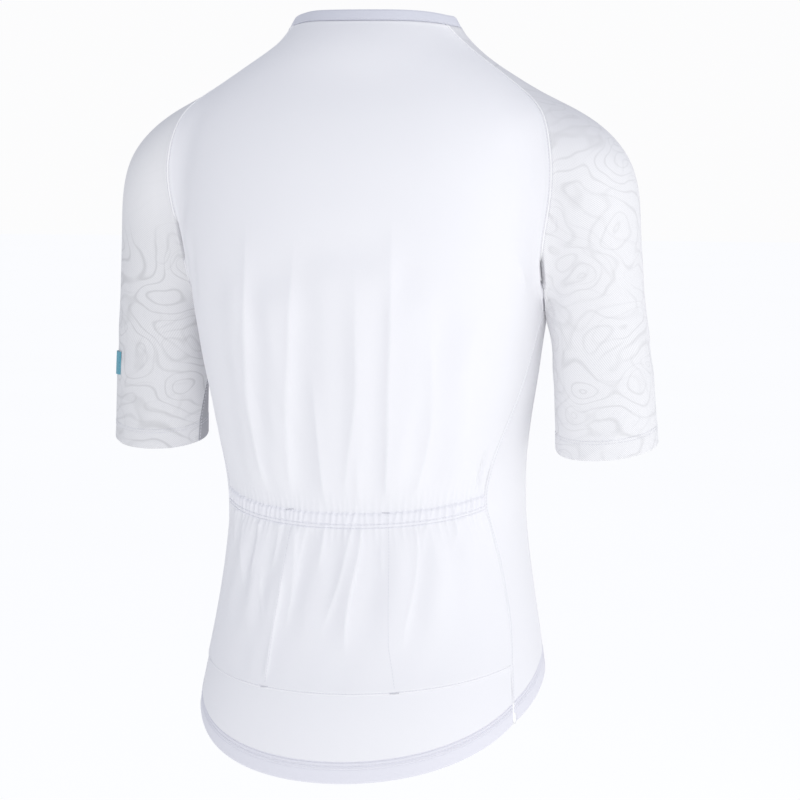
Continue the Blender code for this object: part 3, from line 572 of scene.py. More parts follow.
class Cloth:
    """A panel as a fine grid: its points, the way out, and the distance to each edge."""

    def __init__(self, node):
        self.node = node
        points, outs = grids[node]
        across, down, _, _, parts_across, parts_down, close = PANELS[node]
        row_knots = sums(spacing(points).mean(1))
        column_knots = sums(spacing(points, 1).mean(0))
        self.across = marks(column_knots, parts_across)
        self.down = marks(row_knots, parts_down, close)
        if node in ("sleeve_left", "sleeve_right"):
            points = spread(points, column_knots / column_knots[-1])
        rows_at = np.interp(self.down, np.arange(down + 1), row_knots)
        fine = spline(row_knots, points, rows_at)
        if node in CORNERED:
            low = self.down <= ARMPIT_ROW
            top = spline(row_knots[:ARMPIT_ROW + 1], points[:ARMPIT_ROW + 1], rows_at[low])
            foot = spline(row_knots[ARMPIT_ROW:], points[ARMPIT_ROW:], rows_at[~low])
            first, last = CORNERED[node]
            places = np.arange(across + 1)
            share = first * (1 - smooth(places / 2)) + last * (1 - smooth((across - places) / 2))
            fine += (np.concatenate((top, foot)) - fine) * share[None, :, None]
        columns_at = np.interp(self.across, np.arange(across + 1), column_knots)
        fine = np.moveaxis(spline(column_knots, np.moveaxis(fine, 1, 0), columns_at), 0, 1)
        for turned in (fine, np.moveaxis(fine, 1, 0)):
            for edge, beside in ((0, 1), (-1, -2)):
                turned[edge] += unit(turned[edge] - turned[beside]) * SEAM_REACH
        self.points = fine
        rough = outs[np.round(self.down).astype(int)][:, np.round(self.across).astype(int)]
        self.sense = 1.0
        self.measure()
        self.sense = 1.0 if (self.outs * rough).sum() > 0 else -1.0
        self.outs = self.outs * self.sense
        cells = np.diff(self.left, axis=1)[:-1] * np.diff(self.top, axis=0)[:, :-1]
        self.cut = (self.left[:, -1].max(), self.top[-1].max(), cells.sum())

    def measure(self):
        """Works out the way out at each point, and the distances to the four edges."""
        outs = np.cross(np.gradient(self.points, axis=1), np.gradient(self.points, axis=0))
        outs /= np.linalg.norm(outs, axis=2, keepdims=True) + 1e-12
        self.outs = outs * self.sense
        self.left = np.pad(np.cumsum(spacing(self.points, 1), axis=1), ((0, 0), (1, 0)))
        self.right = self.left[:, -1:] - self.left
        self.top = np.pad(np.cumsum(spacing(self.points), axis=0), ((1, 0), (0, 0)))
        self.foot = self.top[-1:] - self.top

    def at(self, row, column):
        """Point and way out between the fine lines, by fractional row and column."""
        row = np.clip(row, 0, len(self.down) - 1.001)
        column = np.clip(column, 0, len(self.across) - 1.001)
        r, c = row.astype(int), column.astype(int)
        v, u = (row - r)[:, None], (column - c)[:, None]
        result = []
        for field in (self.points, self.outs):
            near = field[r, c] * (1 - u) + field[r, c + 1] * u
            far = field[r + 1, c] * (1 - u) + field[r + 1, c + 1] * u
            result.append(near * (1 - v) + far * v)
        return result

    def inset(self, edge, distance):
        """The line on the cloth that keeps a distance from one of its edges."""
        sideways = edge in ("left", "right")
        reach = getattr(self, edge) if sideways else getattr(self, edge).T
        flip = -1 if edge in ("right", "foot") else 1
        steps = np.arange(reach.shape[1], dtype=float)[::flip]
        inward = np.array([np.interp(distance, line[::flip], steps) for line in reach])
        along = np.arange(len(reach), dtype=float)
        return self.at(along, inward) if sideways else self.at(inward, along)


cloths = {node: Cloth(node) for node in PANELS}
for node, piece in cloths.items():
    print(node, piece.points.shape[:2])

# %% [markdown]
# ## Folds placed one by one
# Each fold is a short line across the cloth. The table gives its height, how far it reaches
# to each side, and the line's points as seen straight from behind, from the front or from a
# side. A fold with a short reach on one side has a sharp flank there. Negative ones are
# troughs. Lines are found on the cloth by looking for it straight along one axis.

# %% Finding the folds' lines on the cloth
# view: axis that it looks along, and the side that it looks from
LOOKS = {"back": (1, 1), "front": (1, -1), "left": (0, 1), "right": (0, -1)}
OUTERMOST = [node for node in PANELS if not node.startswith(("zip", "sleeve_tab"))]
LOOK_FROM = 0.5  # metres from the middle
LINE_POINTS = 24


def outermost_tree():
    """A search tree of the outermost cloth."""
    corners, faces = [], []
    for node in OUTERMOST:
        grid = cloths[node].points
        rows, columns = grid.shape[:2]
        index = np.arange(rows * columns).reshape(rows, columns) + len(corners)
        quads = np.stack((index[:-1, :-1], index[:-1, 1:], index[1:, 1:], index[1:, :-1]), -1)
        corners += grid.reshape(-1, 3).tolist()
        faces += quads.reshape(-1, 4).tolist()
    return BVHTree.FromPolygons(corners, faces)


def look(tree, view, pairs):
    """Points of the cloth seen along an axis, from pairs of millimetres, and the ways out."""
    axis, sense = LOOKS[view]
    found, outs = [], []
    for first, height in pairs:
        start = np.array((first * MM, first * MM, height * MM))
        start[axis] = sense * LOOK_FROM
        ray = np.zeros(3)
        ray[axis] = -sense
        hit, normal = tree.ray_cast(Vector(start), Vector(ray))[:2]
        if hit is not None:
            found.append(hit[:])
            outs.append(normal[:] if normal[axis] * sense > 0 else (-normal)[:])
    return np.array(found), np.array(outs)


def points_along(line, runs, places):
    """Points at places along a line, straight between its own."""
    return np.column_stack([np.interp(places, runs, values) for values in line.T])


def smooth_line(corners):
    """Evenly spaced points on a smooth curve through the corners."""
    runs = sums(spacing(corners))
    fine = spline(runs, corners, np.linspace(0, runs[-1], 8 * LINE_POINTS))
    runs = sums(spacing(fine))
    return points_along(fine, runs, np.linspace(0, runs[-1], LINE_POINTS))


# %% How far a fold lifts the cloth
RIDGE_POWER, TROUGH_POWER = 1.25, 2.0  # 1 is a knife edge, 2 a round back
FOLD_END = 3.6  # beyond this many reaches a fold has died out
NEAR_LAYERS = 0.014  # a fold moves every layer of cloth this close to it
LAYER_FADE = 4  # how much faster it dies out in the layers beyond


def fold_amount(piece, line, height, left, right, rise, fall):
    """How far one fold lifts each point of a panel. A ridge has a crisp crest."""
    power = RIDGE_POWER if height > 0 else TROUGH_POWER
    reach = FOLD_END * max(left, right)
    low, high = line.min(0) - reach, line.max(0) + reach
    near = np.all((piece.points > low) & (piece.points < high), axis=2)
    amount = np.zeros(near.shape)
    if not near.any():
        return amount
    points, outs = piece.points[near], piece.outs[near]
    steps, lengths = np.diff(line, axis=0), spacing(line)
    best = np.full(len(points), 1e9)
    side, share = np.zeros(len(points)), np.zeros(len(points))
    for start, step, length, done in zip(line, steps, lengths, sums(lengths)):
        place = np.clip(((points - start) @ step) / length ** 2, 0, 1)
        apart = points - start - place[:, None] * step
        lift = (apart * outs).sum(1)
        flat = apart - outs * lift[:, None]
        gap = (np.linalg.norm(flat, axis=1)
               + LAYER_FADE * np.maximum(np.abs(lift) - NEAR_LAYERS, 0))
        closer = gap < best
        best = np.where(closer, gap, best)
        side = np.where(closer, (flat * np.cross(step / length, outs)).sum(1), side)
        share = np.where(closer, (done + place * length) / lengths.sum(), share)
    width = np.where(side > 0, left, right)
    ends = smooth(share / rise) * smooth((1 - share) / fall)
    amount[near] = height * ends * np.exp(-(best / width) ** power)
    return amount


# %% The folds
# view: height, reach to the left and to the right (mm, looking at the cloth down the line),
# share of the line over which it rises and falls, and two numbers for each point (mm)
FOLDS = (("back", (  # the back, running down into the gathered band
    (4.3, 7, 9, .45, .1, 77, -130, 78, -226, 80, -271, 81, -301, 76, -345, 71, -390),
    (4.1, 8, 8, .45, .1, 26, -146, 33, -235, 37, -274, 42, -314, 44, -354, 45, -394),
    (2.8, 8, 7, .4, .1, 15, -270, 12, -320, 11, -360, 12, -395),
    (3.3, 11, 8, .45, .1, -31, -165, -30, -242, -27, -298, -17, -347, -6, -396),
    (1.4, 5, 4, .5, .1, -24, -350, -20, -397),
    (4.1, 8, 8, .45, .1, -62, -120, -61, -214, -59, -250, -55, -292, -49, -361, -43, -397),
    (3.1, 11, 9, .45, .1, -94, -200, -90, -272, -85, -331, -77, -361, -65, -396),
    (-3, 2, 2, .4, .3, -125, -344, -120, -368, -116, -386),
)), ("back", (  # the pockets, fanning out below the band
    (1.3, 4, 2.5, .1, .4, 100, -412, 99, -454, 93, -487),
    (2, 5, 2.5, .1, .4, 80, -412, 83, -450, 88, -470),
    (1, 4, 2, .3, .3, 75, -452, 73, -483, 66, -505),
    (1.7, 4, 3, .1, .4, 58, -412, 59, -436, 65, -461),
    (2.1, 4, 1.8, .3, .1, 49, -440, 52, -472, 57, -507, 62, -555),
    (2.1, 7, 3, .1, .4, 41, -412, 40, -461, 42, -489, 49, -515),
    (1.4, 5, 3, .1, .4, 28, -412, 35, -442, 38, -475),
    (1.6, 5, 3, .1, .4, 11, -412, 13, -436, 16, -458),
    (2.2, 8, 3, .1, .4, -14, -412, -9, -448, -4, -470, 3, -491, 14, -517),
    (2.2, 5, 1.8, .1, .3, -23, -410, -21, -445, -17, -469, -15, -491, -14, -512, -17, -535),
    (0.9, 3, 2, .3, .4, -40, -425, -43, -460),
    (2.2, 9, 3, .1, .4, -70, -412, -72, -443, -71, -464, -68, -487, -65, -511, -63, -530),
    (1, 3, 2, .1, .4, -80, -408, -77, -425, -76, -443),
    (1, 4, 3, .1, .4, -104, -406, -100, -437),
    (0.9, 4, 3, .1, .4, -123, -405, -127, -436),
    (1, 4, 4, .1, .4, 112, -405, 112, -440),
)), ("back", (  # where the body meets the sleeves, behind
    (2.2, 6, 7, .4, .3, -152, -156, -157, -184, -160, -206),
    (-2.2, 2, 2, .4, .4, -168, -210, -173, -222, -180, -230),
    (2.2, 6, 8, .4, .4, 160, -130, 157, -158, 153, -182),
    (-1.8, 9, 9, .4, .4, 146, -150, 146, -190, 142, -230),
)), ("front", (  # the chest and the stomach
    (2.4, 9, 5, .3, .3, -122, -120, -104, -168, -92, -214),
    (-1.6, 3, 3, .3, .3, -142, -150, -134, -184, -120, -210),
    (2.2, 8, 5, .4, .4, -112, -250, -98, -290, -90, -330),
    (2, 9, 6, .4, .4, -70, -300, -66, -350, -68, -400),
    (2.3, 5, 9, .3, .3, 124, -112, 108, -160, 94, -220),
    (-1.6, 3, 3, .3, .3, 143, -148, 132, -186, 122, -206),
    (2.1, 5, 8, .4, .4, 108, -262, 96, -300, 93, -346),
    (2.1, 6, 9, .4, .4, 64, -290, 60, -346, 66, -392),
    (1.6, 6, 10, .4, .4, 30, -330, 26, -380, 30, -430),
    (1.7, 10, 6, .4, .4, -28, -345, -33, -390, -28, -440),
)), ("left", (  # the sides, at the waist
    (1.3, 4, 8, .4, .4, 6, -300, 14, -330, 30, -352),
    (-1.2, 3, 4, .4, .4, -22, -318, -6, -344, 10, -360),
    (1.1, 8, 4, .4, .4, -30, -360, -26, -410, -36, -450),
)), ("right", (
    (1.3, 8, 4, .4, .4, 2, -296, 12, -328, 28, -356),
    (-1.2, 4, 3, .4, .4, -24, -322, -8, -346, 6, -366),
    (1.1, 4, 8, .4, .4, -28, -352, -30, -404, -22, -446),
)), ("back", (  # the sleeves, behind and before
    (1, 6, 4, .4, .4, -180, -206, -196, -224, -214, -232),
    (0.8, 6, 4, .4, .4, -176, -226, -190, -250, -204, -266),
    (0.8, 5, 5, .4, .4, 184, -210, 196, -232, 212, -244),
)), ("front", (
    (1.2, 4, 6, .4, .4, -172, -196, -188, -220, -210, -230),
    (1, 4, 6, .4, .4, -178, -236, -192, -262, -212, -276),
    (1.2, 6, 4, .4, .4, 173, -192, 190, -214, 208, -226),
    (1, 6, 4, .4, .4, 180, -240, 194, -260, 208, -280),
)))
cloth_tree = outermost_tree()
folds = []
for view, rows in FOLDS:
    for height, left, right, rise, fall, *line in rows:
        pairs = list(zip(line[::2], line[1::2]))
        seen = look(cloth_tree, view, pairs)[0]
        folds.append((smooth_line(seen), height * MM, left * MM, right * MM, rise, fall))

# A tuck lies in a seam: panel, edge, height of its top and foot, depth, reach (mm)
TUCKS = (
    ("back_panel", "right", -138, -184, 8.0, 1.4), ("back_panel", "left", -170, -208, 8.0, 1.4),
    ("front_left", "right", -160, -215, 3.5, 2.6), ("front_right", "right", -160, -215, 3.5, 2.6),
)
TUCK_RISE, TUCK_FALL = 0.35, 0.2
for node, edge, top, foot, depth, reach in TUCKS:
    points = cloths[node].inset(edge, 0.0)[0]
    inside = (points[:, 2] < top * MM) & (points[:, 2] > foot * MM)
    inside &= cloths[node].down <= ARMPIT_ROW
    print(node, edge, "tuck over", inside.sum(), "rows, x", points[inside, 0].round(3)[[0, -1]])
    folds.append((smooth_line(points[inside]), -depth * MM, reach * MM, reach * MM,
                  TUCK_RISE, TUCK_FALL))
print(len(folds), "folds")

# %% [markdown]
# ## The gathers along the elastic
# Elastic drawn through the top of the pockets ruches the cloth into small ridges, about
# 5 mm apart. They are strongest in the band, die out quickly above it, and run a little way
# down into the pockets. Their spacing and height are uneven, from a seeded random table.

# %% Ruffles
BAND_TOP, BAND_FOOT = 15, 16  # rows of the back between which the band lies
# node: the back's row at which each gathered panel starts
GATHERED = {"back_panel": 0, "pocket_band": BAND_TOP, "pocket_panel": BAND_FOOT}
ROW_ABOVE, ROW_BELOW = 30 * MM, 36 * MM  # height of a row above and below the band
FADE_ABOVE, FADE_BELOW = 8 * MM, 12 * MM
RUFFLE_START, RUFFLE_WIDTH = -0.2, 0.15  # in cells of the back's grid, about 10 mm each
RUFFLE_PITCH, RUFFLE_SIZE, RUFFLE_SLANT = (0.40, 0.72), (0.45, 1.0), (-0.15, 0.35)
RUFFLE_HEIGHT = 1.5 * MM
RUFFLE_LEVEL = 0.35  # what the ridges' heights are counted from
RUFFLE_COUNT = 70
dice = np.random.default_rng(7)
ruffle_places = RUFFLE_START + np.cumsum(dice.uniform(*RUFFLE_PITCH, RUFFLE_COUNT))
ruffle_sizes = dice.uniform(*RUFFLE_SIZE, RUFFLE_COUNT)
ruffle_slants = dice.uniform(*RUFFLE_SLANT, RUFFLE_COUNT)


def ruffles(columns, down):
    """Height of the gathers over their level, at columns of cells and shares of the band."""
    total = np.zeros(np.broadcast(columns, down).shape)
    for place, size, slant in zip(ruffle_places, ruffle_sizes, ruffle_slants):
        total += size * np.exp(-((columns - place - slant * down) / RUFFLE_WIDTH) ** 2)
    return total - RUFFLE_LEVEL


def gathers(piece):
    """How far the gathers lift a panel of the back."""
    rows = piece.down[:, None] + GATHERED[piece.node]
    inside = np.clip(rows - BAND_TOP, 0, 1)
    if piece.node == "pocket_band":
        share = np.sin(np.pi * np.clip(inside, 0.08, 0.80) / 0.84) ** 0.5
    else:
        above = np.maximum(BAND_TOP - rows, 0) * ROW_ABOVE
        below = np.maximum(rows - BAND_FOOT, 0) * ROW_BELOW
        share = 0.5 * np.exp(-(above / FADE_ABOVE) ** 1.5) * np.exp(-(below / FADE_BELOW) ** 1.3)
    return RUFFLE_HEIGHT * share * ruffles(piece.across[None, :], inside)

# %% [markdown]
# ## Relief of the seams and hems
# A seam is a dip where two panels meet, with the folded allowance standing up a little on
# both sides. A row of stitches pulls the cloth down into a groove. A free edge is rolled
# under. All of these are functions of the distance to a panel's edge, in metres.

# %% Seams, grooves and rolled edges
SEAM_DIP = (0.55, 0.9)  # depth and reach, mm
SEAM_RISE, SEAM_MIDDLE, SEAM_HALF = 0.3 * MM, 2.8 * MM, 2.4 * MM
HEM_RISE, HEM_EDGE = 0.35 * MM, 0.8 * MM


def dent(distance, depth, width):
    """A narrow round dent, depth and width in millimetres, where the distance is 0."""
    return -depth * MM * np.exp(-(distance / (width * MM)) ** 2)


def seam_relief(distance):
    """A seam dips at the join and lies double for a few millimetres beside it."""
    off = np.abs(distance - SEAM_MIDDLE)
    return dent(distance, *SEAM_DIP) + SEAM_RISE * smooth(1 - off / SEAM_HALF)


def turned_hem(distance, width):
    """The cloth lies double from a free edge to the hem's stitches."""
    return HEM_RISE * (1 - smooth((distance - width) / HEM_EDGE))


# %% Which edges are seams, and where the stitches run
# node: edges that are seams
SEAMS = both_sides({
    "back_panel": ("top", "left", "right"), "front_*": ("top", "right"),
    "sleeve_*": ("top", "left", "right"), "underarm_wedge_*": ("left", "right"),
    "pocket_band": ("left", "right"), "pocket_panel": ("left", "right"),
    "hem_band_back": ("left", "right"), "hem_band_*": ("right",),
})
# node: edge that rolls under, how far in (mm) and from how far away (mm)
ROLLS = both_sides({
    "sleeve_*": ("foot", 0.6, 0.8), "underarm_wedge_*": ("foot", 0.6, 0.8),
    "pocket_band": ("top", 2.0, 1.6), "pocket_panel": ("foot", 0.9, 0.9),
    "hem_band_back": ("foot", 0.6, 0.9), "hem_band_*": ("foot", 0.6, 0.9),
    "collar_band": ("top", 0.7, 1.1),
})
POCKET_END = (1.3, 2.2)  # the same for the ends of the pockets and their band
CUFF = 18.0  # width of the sleeves' turned hems, mm
CUFF_ROWS = (("foot", CUFF, 0.6), ("foot", CUFF - 2.6, 0.4))
HEM_ROWS = (("top", 1.2, 0.9), ("top", 4.4, 0.8), ("top", 7.4, 0.5))
# node: stitched grooves: edge, distance from it and depth (mm)
GROOVES = both_sides({
    "sleeve_*": CUFF_ROWS, "underarm_wedge_*": CUFF_ROWS,
    "pocket_band": (("foot", 1.4, 0.8), ("foot", 4.6, 0.7)),
    "pocket_panel": (("foot", 2.0, 0.6),), "hem_band_back": HEM_ROWS, "hem_band_*": HEM_ROWS,
    "collar_band": (("foot", 1.6, 0.3),), "zip_tape_*": (("left", 2.6, 0.25),),
})
GROOVE_WIDTH = 0.55  # mm
WAVY_EDGE, WAVY_REACH = 1.6 * MM, 5 * MM  # how the band's ridges rise above its top edge

for node, piece in cloths.items():
    amount = np.zeros(piece.outs.shape[:2])
    if not node.startswith("zip"):
        amount = sum(fold_amount(piece, *fold) for fold in folds)
    if node in GATHERED:
        amount += gathers(piece)
    for edge in SEAMS.get(node, ()):
        amount += seam_relief(getattr(piece, edge))
    if node in ROLLS:
        edge, inward, reach = ROLLS[node]
        amount += dent(getattr(piece, edge), inward, reach)
    if node.startswith(("sleeve_l", "sleeve_r", "underarm")):
        amount += turned_hem(piece.foot, CUFF * MM)
    if node.startswith("pocket"):
        amount += dent(piece.left, *POCKET_END) + dent(piece.right, *POCKET_END)
    for edge, place, depth in GROOVES.get(node, ()):
        amount += dent(getattr(piece, edge) - place * MM, depth, GROOVE_WIDTH)
    piece.points = piece.points + piece.outs * amount[..., None]
    if node == "pocket_band":
        rise = ruffles(piece.across[None, :], 0.0) * WAVY_EDGE
        piece.points[..., 2] += rise * np.exp(-(piece.top / WAVY_REACH) ** 2)
    piece.measure()

# %% [markdown]
# ## Shells
# A cloth's mesh starts as a flat grid of the right number of squares. Its corners move to
# the fine points, the UV map takes real metres, and Solidify gives the wall its thickness
# inwards, so that the outside keeps the form.

# %% Making a shell
SMOOTH_ANGLE = math.radians(50)


def dress(made, finish):
    """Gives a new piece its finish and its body."""
    made.data.materials.append(finishes[finish])
    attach(made, "jersey")
    made.select_set(False)


def shell(name, piece, wall, finish):
    """A cloth object from a fine grid, standing for its CAD node."""
    points = piece.points
    across, along = piece.left - piece.left[:, [piece.left.shape[1] // 2]], piece.top
    if np.linalg.det(np.stack((points[1, 1] - points[1, 0], points[0, 1] - points[1, 1],
                               piece.outs[1, 1]))) < 0:
        points, across, along = points[:, ::-1], across[:, ::-1], along[:, ::-1]
    rows, columns = points.shape[:2]
    bpy.ops.mesh.primitive_grid_add(x_subdivisions=columns - 1, y_subdivisions=rows - 1, size=1)
    made = bpy.context.object
    made.name = made.data.name = name
    made.data.vertices.foreach_set("co", points[::-1].reshape(-1, 3).ravel())
    corner = np.zeros(len(made.data.loops), dtype=int)
    made.data.loops.foreach_get("vertex_index", corner)
    flat = np.stack((across[::-1].ravel(), along[::-1].ravel()), axis=1)
    made.data.uv_layers[0].data.foreach_set("uv", flat[corner].ravel())
    made.data.update()
    solid = made.modifiers.new("wall", "SOLIDIFY")
    solid.thickness = wall
    solid.offset = -1
    bpy.ops.object.modifier_apply(modifier=solid.name)
    bpy.ops.object.shade_smooth_by_angle(angle=SMOOTH_ANGLE)
    dress(made, finish)
    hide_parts(piece.node)
    return made


# node: piece's name, wall in mm, finish, slot
SHELLS = both_sides({
    "back_panel": ("back_cloth", 0.9, "body_knit", "body_knit"),
    "pocket_band": ("pocket_band_cloth", 1.3, "band_knit", "elastic_band"),
    "pocket_panel": ("pocket_cloth", 0.9, "body_knit", "body_knit"),
    "hem_band_back": ("hem_back_cloth", 1.4, "hem_knit", "hem_band"),
    "front_*": ("front_*_cloth", 0.9, "body_knit", "body_knit"),
    "hem_band_*": ("hem_*_cloth", 1.4, "hem_knit", "hem_band"),
    "sleeve_*": ("sleeve_*_cloth", 0.9, "sleeve_*_mesh", "sleeve_mesh"),
    "underarm_wedge_*": ("wedge_*_cloth", 0.9, "underarm_mesh", "underarm_mesh"),
    "collar_band": ("collar_cloth", 1.4, "collar_knit", "collar_knit"),
    "zip_tape_*": ("zip_*_cloth", 1.2, "tape_weave", "zip_tape"),
    "sleeve_tab": ("sleeve_tab_blank", 0.8, "tab_weave", "sleeve_tab"),
})
shells = {}
for node, (name, wall, finish, slot) in SHELLS.items():
    shells[node] = shell(name, cloths[node], wall * MM, finish)
    print(name, len(shells[node].data.polygons), "faces,",
          "cut %.3f x %.3f m, %.4f m2" % cloths[node].cut)

# %% [markdown]
# ## Stitches
# At a garment's scale a stitch is a short bead of thread that lies half sunk in its groove.
# One is modelled as a six-sided bead, and copied along every stitched line. All the rows of
# one panel are one mesh, so that there are not thousands of objects.

# %% One stitch
BARREL = 0.6  # the part of a stitch's length that has the full thickness


def bead():
    """A stitch one unit long, wide and high: its corners and faces as arrays."""
    bpy.ops.mesh.primitive_cylinder_add(vertices=6, radius=0.5, depth=BARREL,
                                        end_fill_type="TRIFAN", rotation=(0, math.pi / 2, 0))
    made = bpy.context.object
    bpy.ops.object.transform_apply(location=False, rotation=True, scale=False)
    bpy.ops.object.mode_set(mode="EDIT")
    bpy.ops.mesh.select_all(action="DESELECT")
    bpy.ops.mesh.select_mode(type="VERT")
    shape = bmesh.from_edit_mesh(made.data)
    for corner in shape.verts:
        corner.select_set(math.hypot(corner.co.y, corner.co.z) < 0.1)
    shape.select_flush_mode()
    bmesh.update_edit_mesh(made.data)
    bpy.ops.transform.resize(value=(1 / BARREL, 1, 1), center_override=(0, 0, 0))
    bpy.ops.object.mode_set(mode="OBJECT")
    corners = np.array([corner.co[:] for corner in made.data.vertices])
    faces = [tuple(face.vertices) for face in made.data.polygons]
    bpy.data.meshes.remove(made.data)
    return corners, faces


BEAD, BEAD_FACES = bead()
print("a stitch has", len(BEAD_FACES), "faces, from x", BEAD[:, 0].min(), "to", BEAD[:, 0].max())


# %% Sewing
AIM_STEP = 0.3 * MM  # how far before and after a stitch its direction is taken


def trail(line, places):
    """Points, directions, sideways and ways out at places along a line."""
    points, outs = line
    runs = sums(spacing(points))
    ahead = unit(points_along(points, runs, places + AIM_STEP)
                 - points_along(points, runs, places - AIM_STEP))
    side = unit(np.cross(points_along(outs, runs, places), ahead))
    return points_along(points, runs, places), ahead, side, np.cross(ahead, side)


def mesh_piece(name, parts, finish):
    """One smooth and dressed object from parts, each of them corners and faces."""
    corners, faces = [], []
    for made, around in parts:
        faces += [tuple(len(corners) + corner for corner in face) for face in around]
        corners += made.tolist()
    data = bpy.data.meshes.new(name)
    data.from_pydata(corners, [], faces)
    made = bpy.data.objects.new(name, data)
    bpy.context.collection.objects.link(made)
    data.polygons.foreach_set("use_smooth", [True] * len(data.polygons))
    dress(made, finish)


def sew(name, lines, pitch, size, finish, turn=0.0, shift=0.0, phase=0.5):
    """Copies the bead along the lines. Turn makes a zigzag, shift moves it sideways."""
    parts = []
    scaled = BEAD * np.array(size) * MM
    for line in lines:
        places = np.arange(pitch * phase, sums(spacing(line[0]))[-1], pitch)
        spot, ahead, side, out = trail(line, places)
        angle = turn * np.where(np.arange(len(places)) % 2, 1, -1)[:, None]
        first = ahead * np.cos(angle) + side * np.sin(angle)
        second = side * np.cos(angle) - ahead * np.sin(angle)
        made = ((spot + side * shift)[:, None] + first[:, None] * scaled[None, :, :1]
                + second[:, None] * scaled[None, :, 1:2] + out[:, None] * scaled[None, :, 2:])
        parts += [(stitch, BEAD_FACES) for stitch in made]
    mesh_piece(name, parts, finish)


# %% Rows of stitches on each panel
STITCH = (2.3, 0.55, 0.5)  # length, width and height of a stitch, mm
STITCH_PITCH = 3.0 * MM
SEAM_STITCH = 1.7  # distance of a seam's stitches from the join, mm
TAB_STITCH = 1.3  # distance of the tab's stitches from its edges, mm
for node, piece in cloths.items():
    rows = [(edge, SEAM_STITCH) for edge in SEAMS.get(node, ()) if not node.startswith("hem")]
    rows += [(edge, place) for edge, place, _ in GROOVES.get(node, ())]
    finish = "thread_white"
    if node == "sleeve_tab":
        rows, finish = [("left", TAB_STITCH), ("right", TAB_STITCH)], "thread_blue"
    if rows:
        lines = [piece.inset(edge, place * MM) for edge, place in rows]
        name, _, _, slot = SHELLS[node]
        sew(name + "_stitches", lines, STITCH_PITCH, STITCH, finish)

# %% [markdown]
# ## Pocket dividers and bar tacks
# Two sewn lines divide the pouch into three pockets. The ends of each are locked with a bar
# tack, a dense zigzag about 7 mm wide.

# %% Dividers and bar tacks
DIVIDERS = (
    ((45, -417), (48, -440), (52, -472), (57, -507), (62, -556)),
    ((-47, -414), (-50, -468), (-53, -520), (-61, -556)),
    ((-47, -403), (-47, -413)),
)
TACKS = (((51, -402), (43, -401)), ((-41, -402), (-48, -402)), ((66, -558.5), (58, -558)),
         ((-57, -559), (-65, -558.5)))
TACK_STITCH, TACK_PITCH = (1.6, 0.5, 0.6), 0.42 * MM
TACK_TURN = math.radians(78)
finished_tree = outermost_tree()


def seen_line(pairs, count):
    """A line on the finished cloth, looked up from behind."""
    fine = points_along(np.array(pairs, dtype=float), np.linspace(0, 1, len(pairs)),
                        np.linspace(0, 1, count))
    return look(finished_tree, "back", fine)


sew("divider_stitches", [seen_line(pairs, 60) for pairs in DIVIDERS], STITCH_PITCH, STITCH,
    "thread_white")
sew("bar_tacks", [seen_line(pairs, 9) for pairs in TACKS], TACK_PITCH, TACK_STITCH,
    "thread_grey", turn=TACK_TURN)

# %% [markdown]
# ## Overlocked seams inside
# Turn a jersey inside out and each seam shows its allowance, bound with thread into a soft
# flat ridge. It also closes the join between two shells. Each is a closed flattened tube
# along the seam, just inside the wall.

# %% Seam allowances
ALLOWANCE = (5.0, 0.9)  # width and thickness, mm
ALLOWANCE_DEPTH = 1.15 * MM
TUBE_SIDES, TUBE_STEP = 8, 3 * MM
# node: edges with an allowance inside, one for each seam
INSIDE = both_sides({
    "back_panel": ("top", "left", "right"), "front_*": ("top", "right"),
    "sleeve_*": ("top", "right"), "underarm_wedge_*": ("left", "right"),
})


def flat_tube(line, size, depth):
    """Corners and faces of a closed tube with an oval section, under a line."""
    length = sums(spacing(line[0]))[-1]
    spot, _, side, out = trail(line, np.linspace(0, length, max(int(length / TUBE_STEP), 2)))
    turns = np.arange(TUBE_SIDES) * math.tau / TUBE_SIDES
    ring = (side[:, None] * (np.cos(turns) * size[0] / 2 * MM)[None, :, None]
            + out[:, None] * (np.sin(turns) * size[1] / 2 * MM)[None, :, None])
    corners = (spot - out * depth)[:, None] + ring
    count, sides = corners.shape[:2]
    faces = [(r * sides + c, r * sides + (c + 1) % sides, (r + 1) * sides + (c + 1) % sides,
              (r + 1) * sides + c) for r in range(count - 1) for c in range(sides)]
    faces += [tuple(range(sides))[::-1], tuple((count - 1) * sides + c for c in range(sides))]
    return corners.reshape(-1, 3), faces


def tubes(name, lines, size, depth, finish):
    """Several flattened tubes along lines, as one piece."""
    mesh_piece(name, [flat_tube(line, size, depth) for line in lines], finish)


lines = [cloths[node].inset(edge, 0.1 * MM) for node, edges in INSIDE.items() for edge in edges]
tubes("seam_allowances", lines, ALLOWANCE, ALLOWANCE_DEPTH, "thread_white")

# %% [markdown]
# ## Piping and hem joins
# A thin cord is sewn into the raglan seams of the back, and shows as a light line. Where the
# hem band's parts meet at the side seams, the join is a flat light strip.

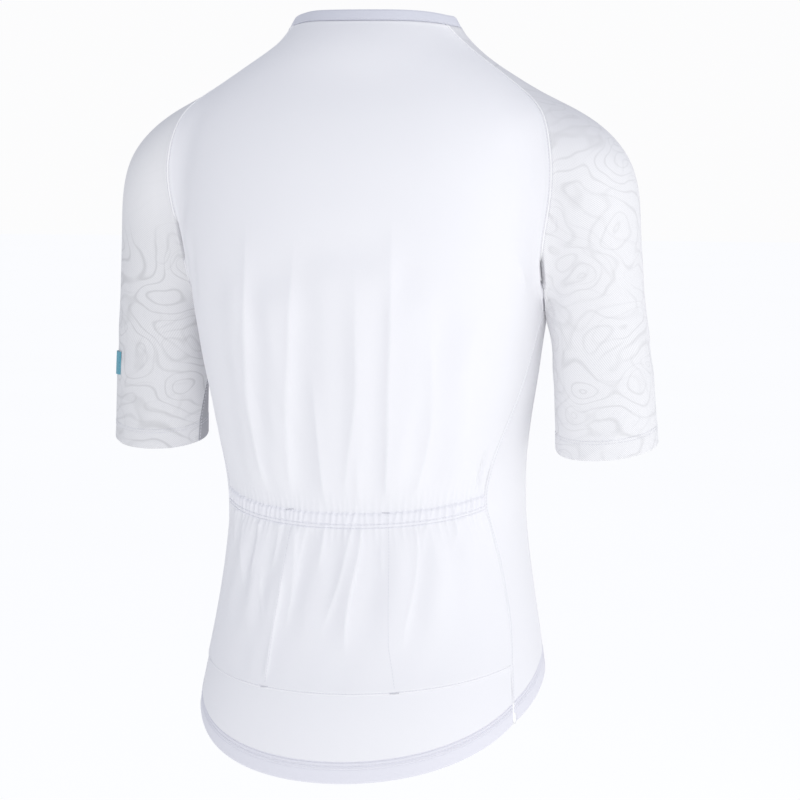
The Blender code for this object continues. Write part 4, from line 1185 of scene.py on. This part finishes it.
# %% Piping along the back's raglan seams, and the strips at the hem joins
PIPING, PIPING_RISE = (1.6, 1.4), 0.5 * MM
HEM_JOIN, HEM_JOIN_RISE = (6.0, 0.9), 0.1 * MM

back = cloths["back_panel"]
raglan = back.down <= ARMPIT_ROW - 1
lines = [[field[raglan] for field in back.inset(edge, 0.0)] for edge in ("left", "right")]
tubes("raglan_piping", lines, PIPING, -PIPING_RISE, "piping_satin")
lines = [cloths[node].inset("right", 0.0) for node in ("hem_band_left", "hem_band_right")]
tubes("hem_joins", lines, HEM_JOIN, -HEM_JOIN_RISE, "piping_satin")

# %% [markdown]
# ## Zip
# A light coil zip: two rows of small loops that mesh in the middle of the tapes. Each loop
# is the bead again, laid across the zip, and the second row is half a step on. The slider
# and its pull tab are the CAD's own, with finer finishes.

# %% Zip teeth, slider and pull tab
TOOTH = (3.0, 1.0, 1.1)
TOOTH_PITCH = 1.5 * MM
TOOTH_SHIFT = 0.75 * MM
slider_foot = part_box("zip_slider")[0][2]
points, outs = cloths["zip_tape_left"].inset("left", 0.0)
below = points[:, 2] < slider_foot - 1 * MM
middle = (points[below] * (0, 1, 1), outs[below])
for name, side, phase in (("zip_teeth_left", 1, 0.5), ("zip_teeth_right", -1, 1.0)):
    sew(name, [middle], TOOTH_PITCH, TOOTH, "teeth_nylon", turn=math.pi / 2,
        shift=side * TOOTH_SHIFT, phase=phase)
for node, finish in (("zip_slider", "slider_metal"), ("zip_pull", "pull_rubber")):
    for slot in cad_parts[node].material_slots:
        slot.material = finishes[finish]

# %% [markdown]
# ## What the cloth was cut to
# Each panel's flat size is that of the cut piece before sewing: the panel's own width and length
# along the cloth, and more across for the two that elastic gathers. The cell prints these sizes.

# %% The cut sizes of the panels
HELD = {"pocket_band": "gathered", "pocket_panel": "gathered"}
GATHER = 1.18  # how much wider the gathered cloth was cut
for node, made in shells.items():
    if node.startswith("zip"):
        continue                # a tape shows only its edge and goes with its front
    width, length, area = cloths[node].cut
    fuller = GATHER if node in HELD else 1.0
    width, length = round(width * fuller, 3), round(length, 3)
    area = min(round(area * fuller, 4), width * length)
    print(made.name, "cut", width, "x", length, "m,", area, "m2")
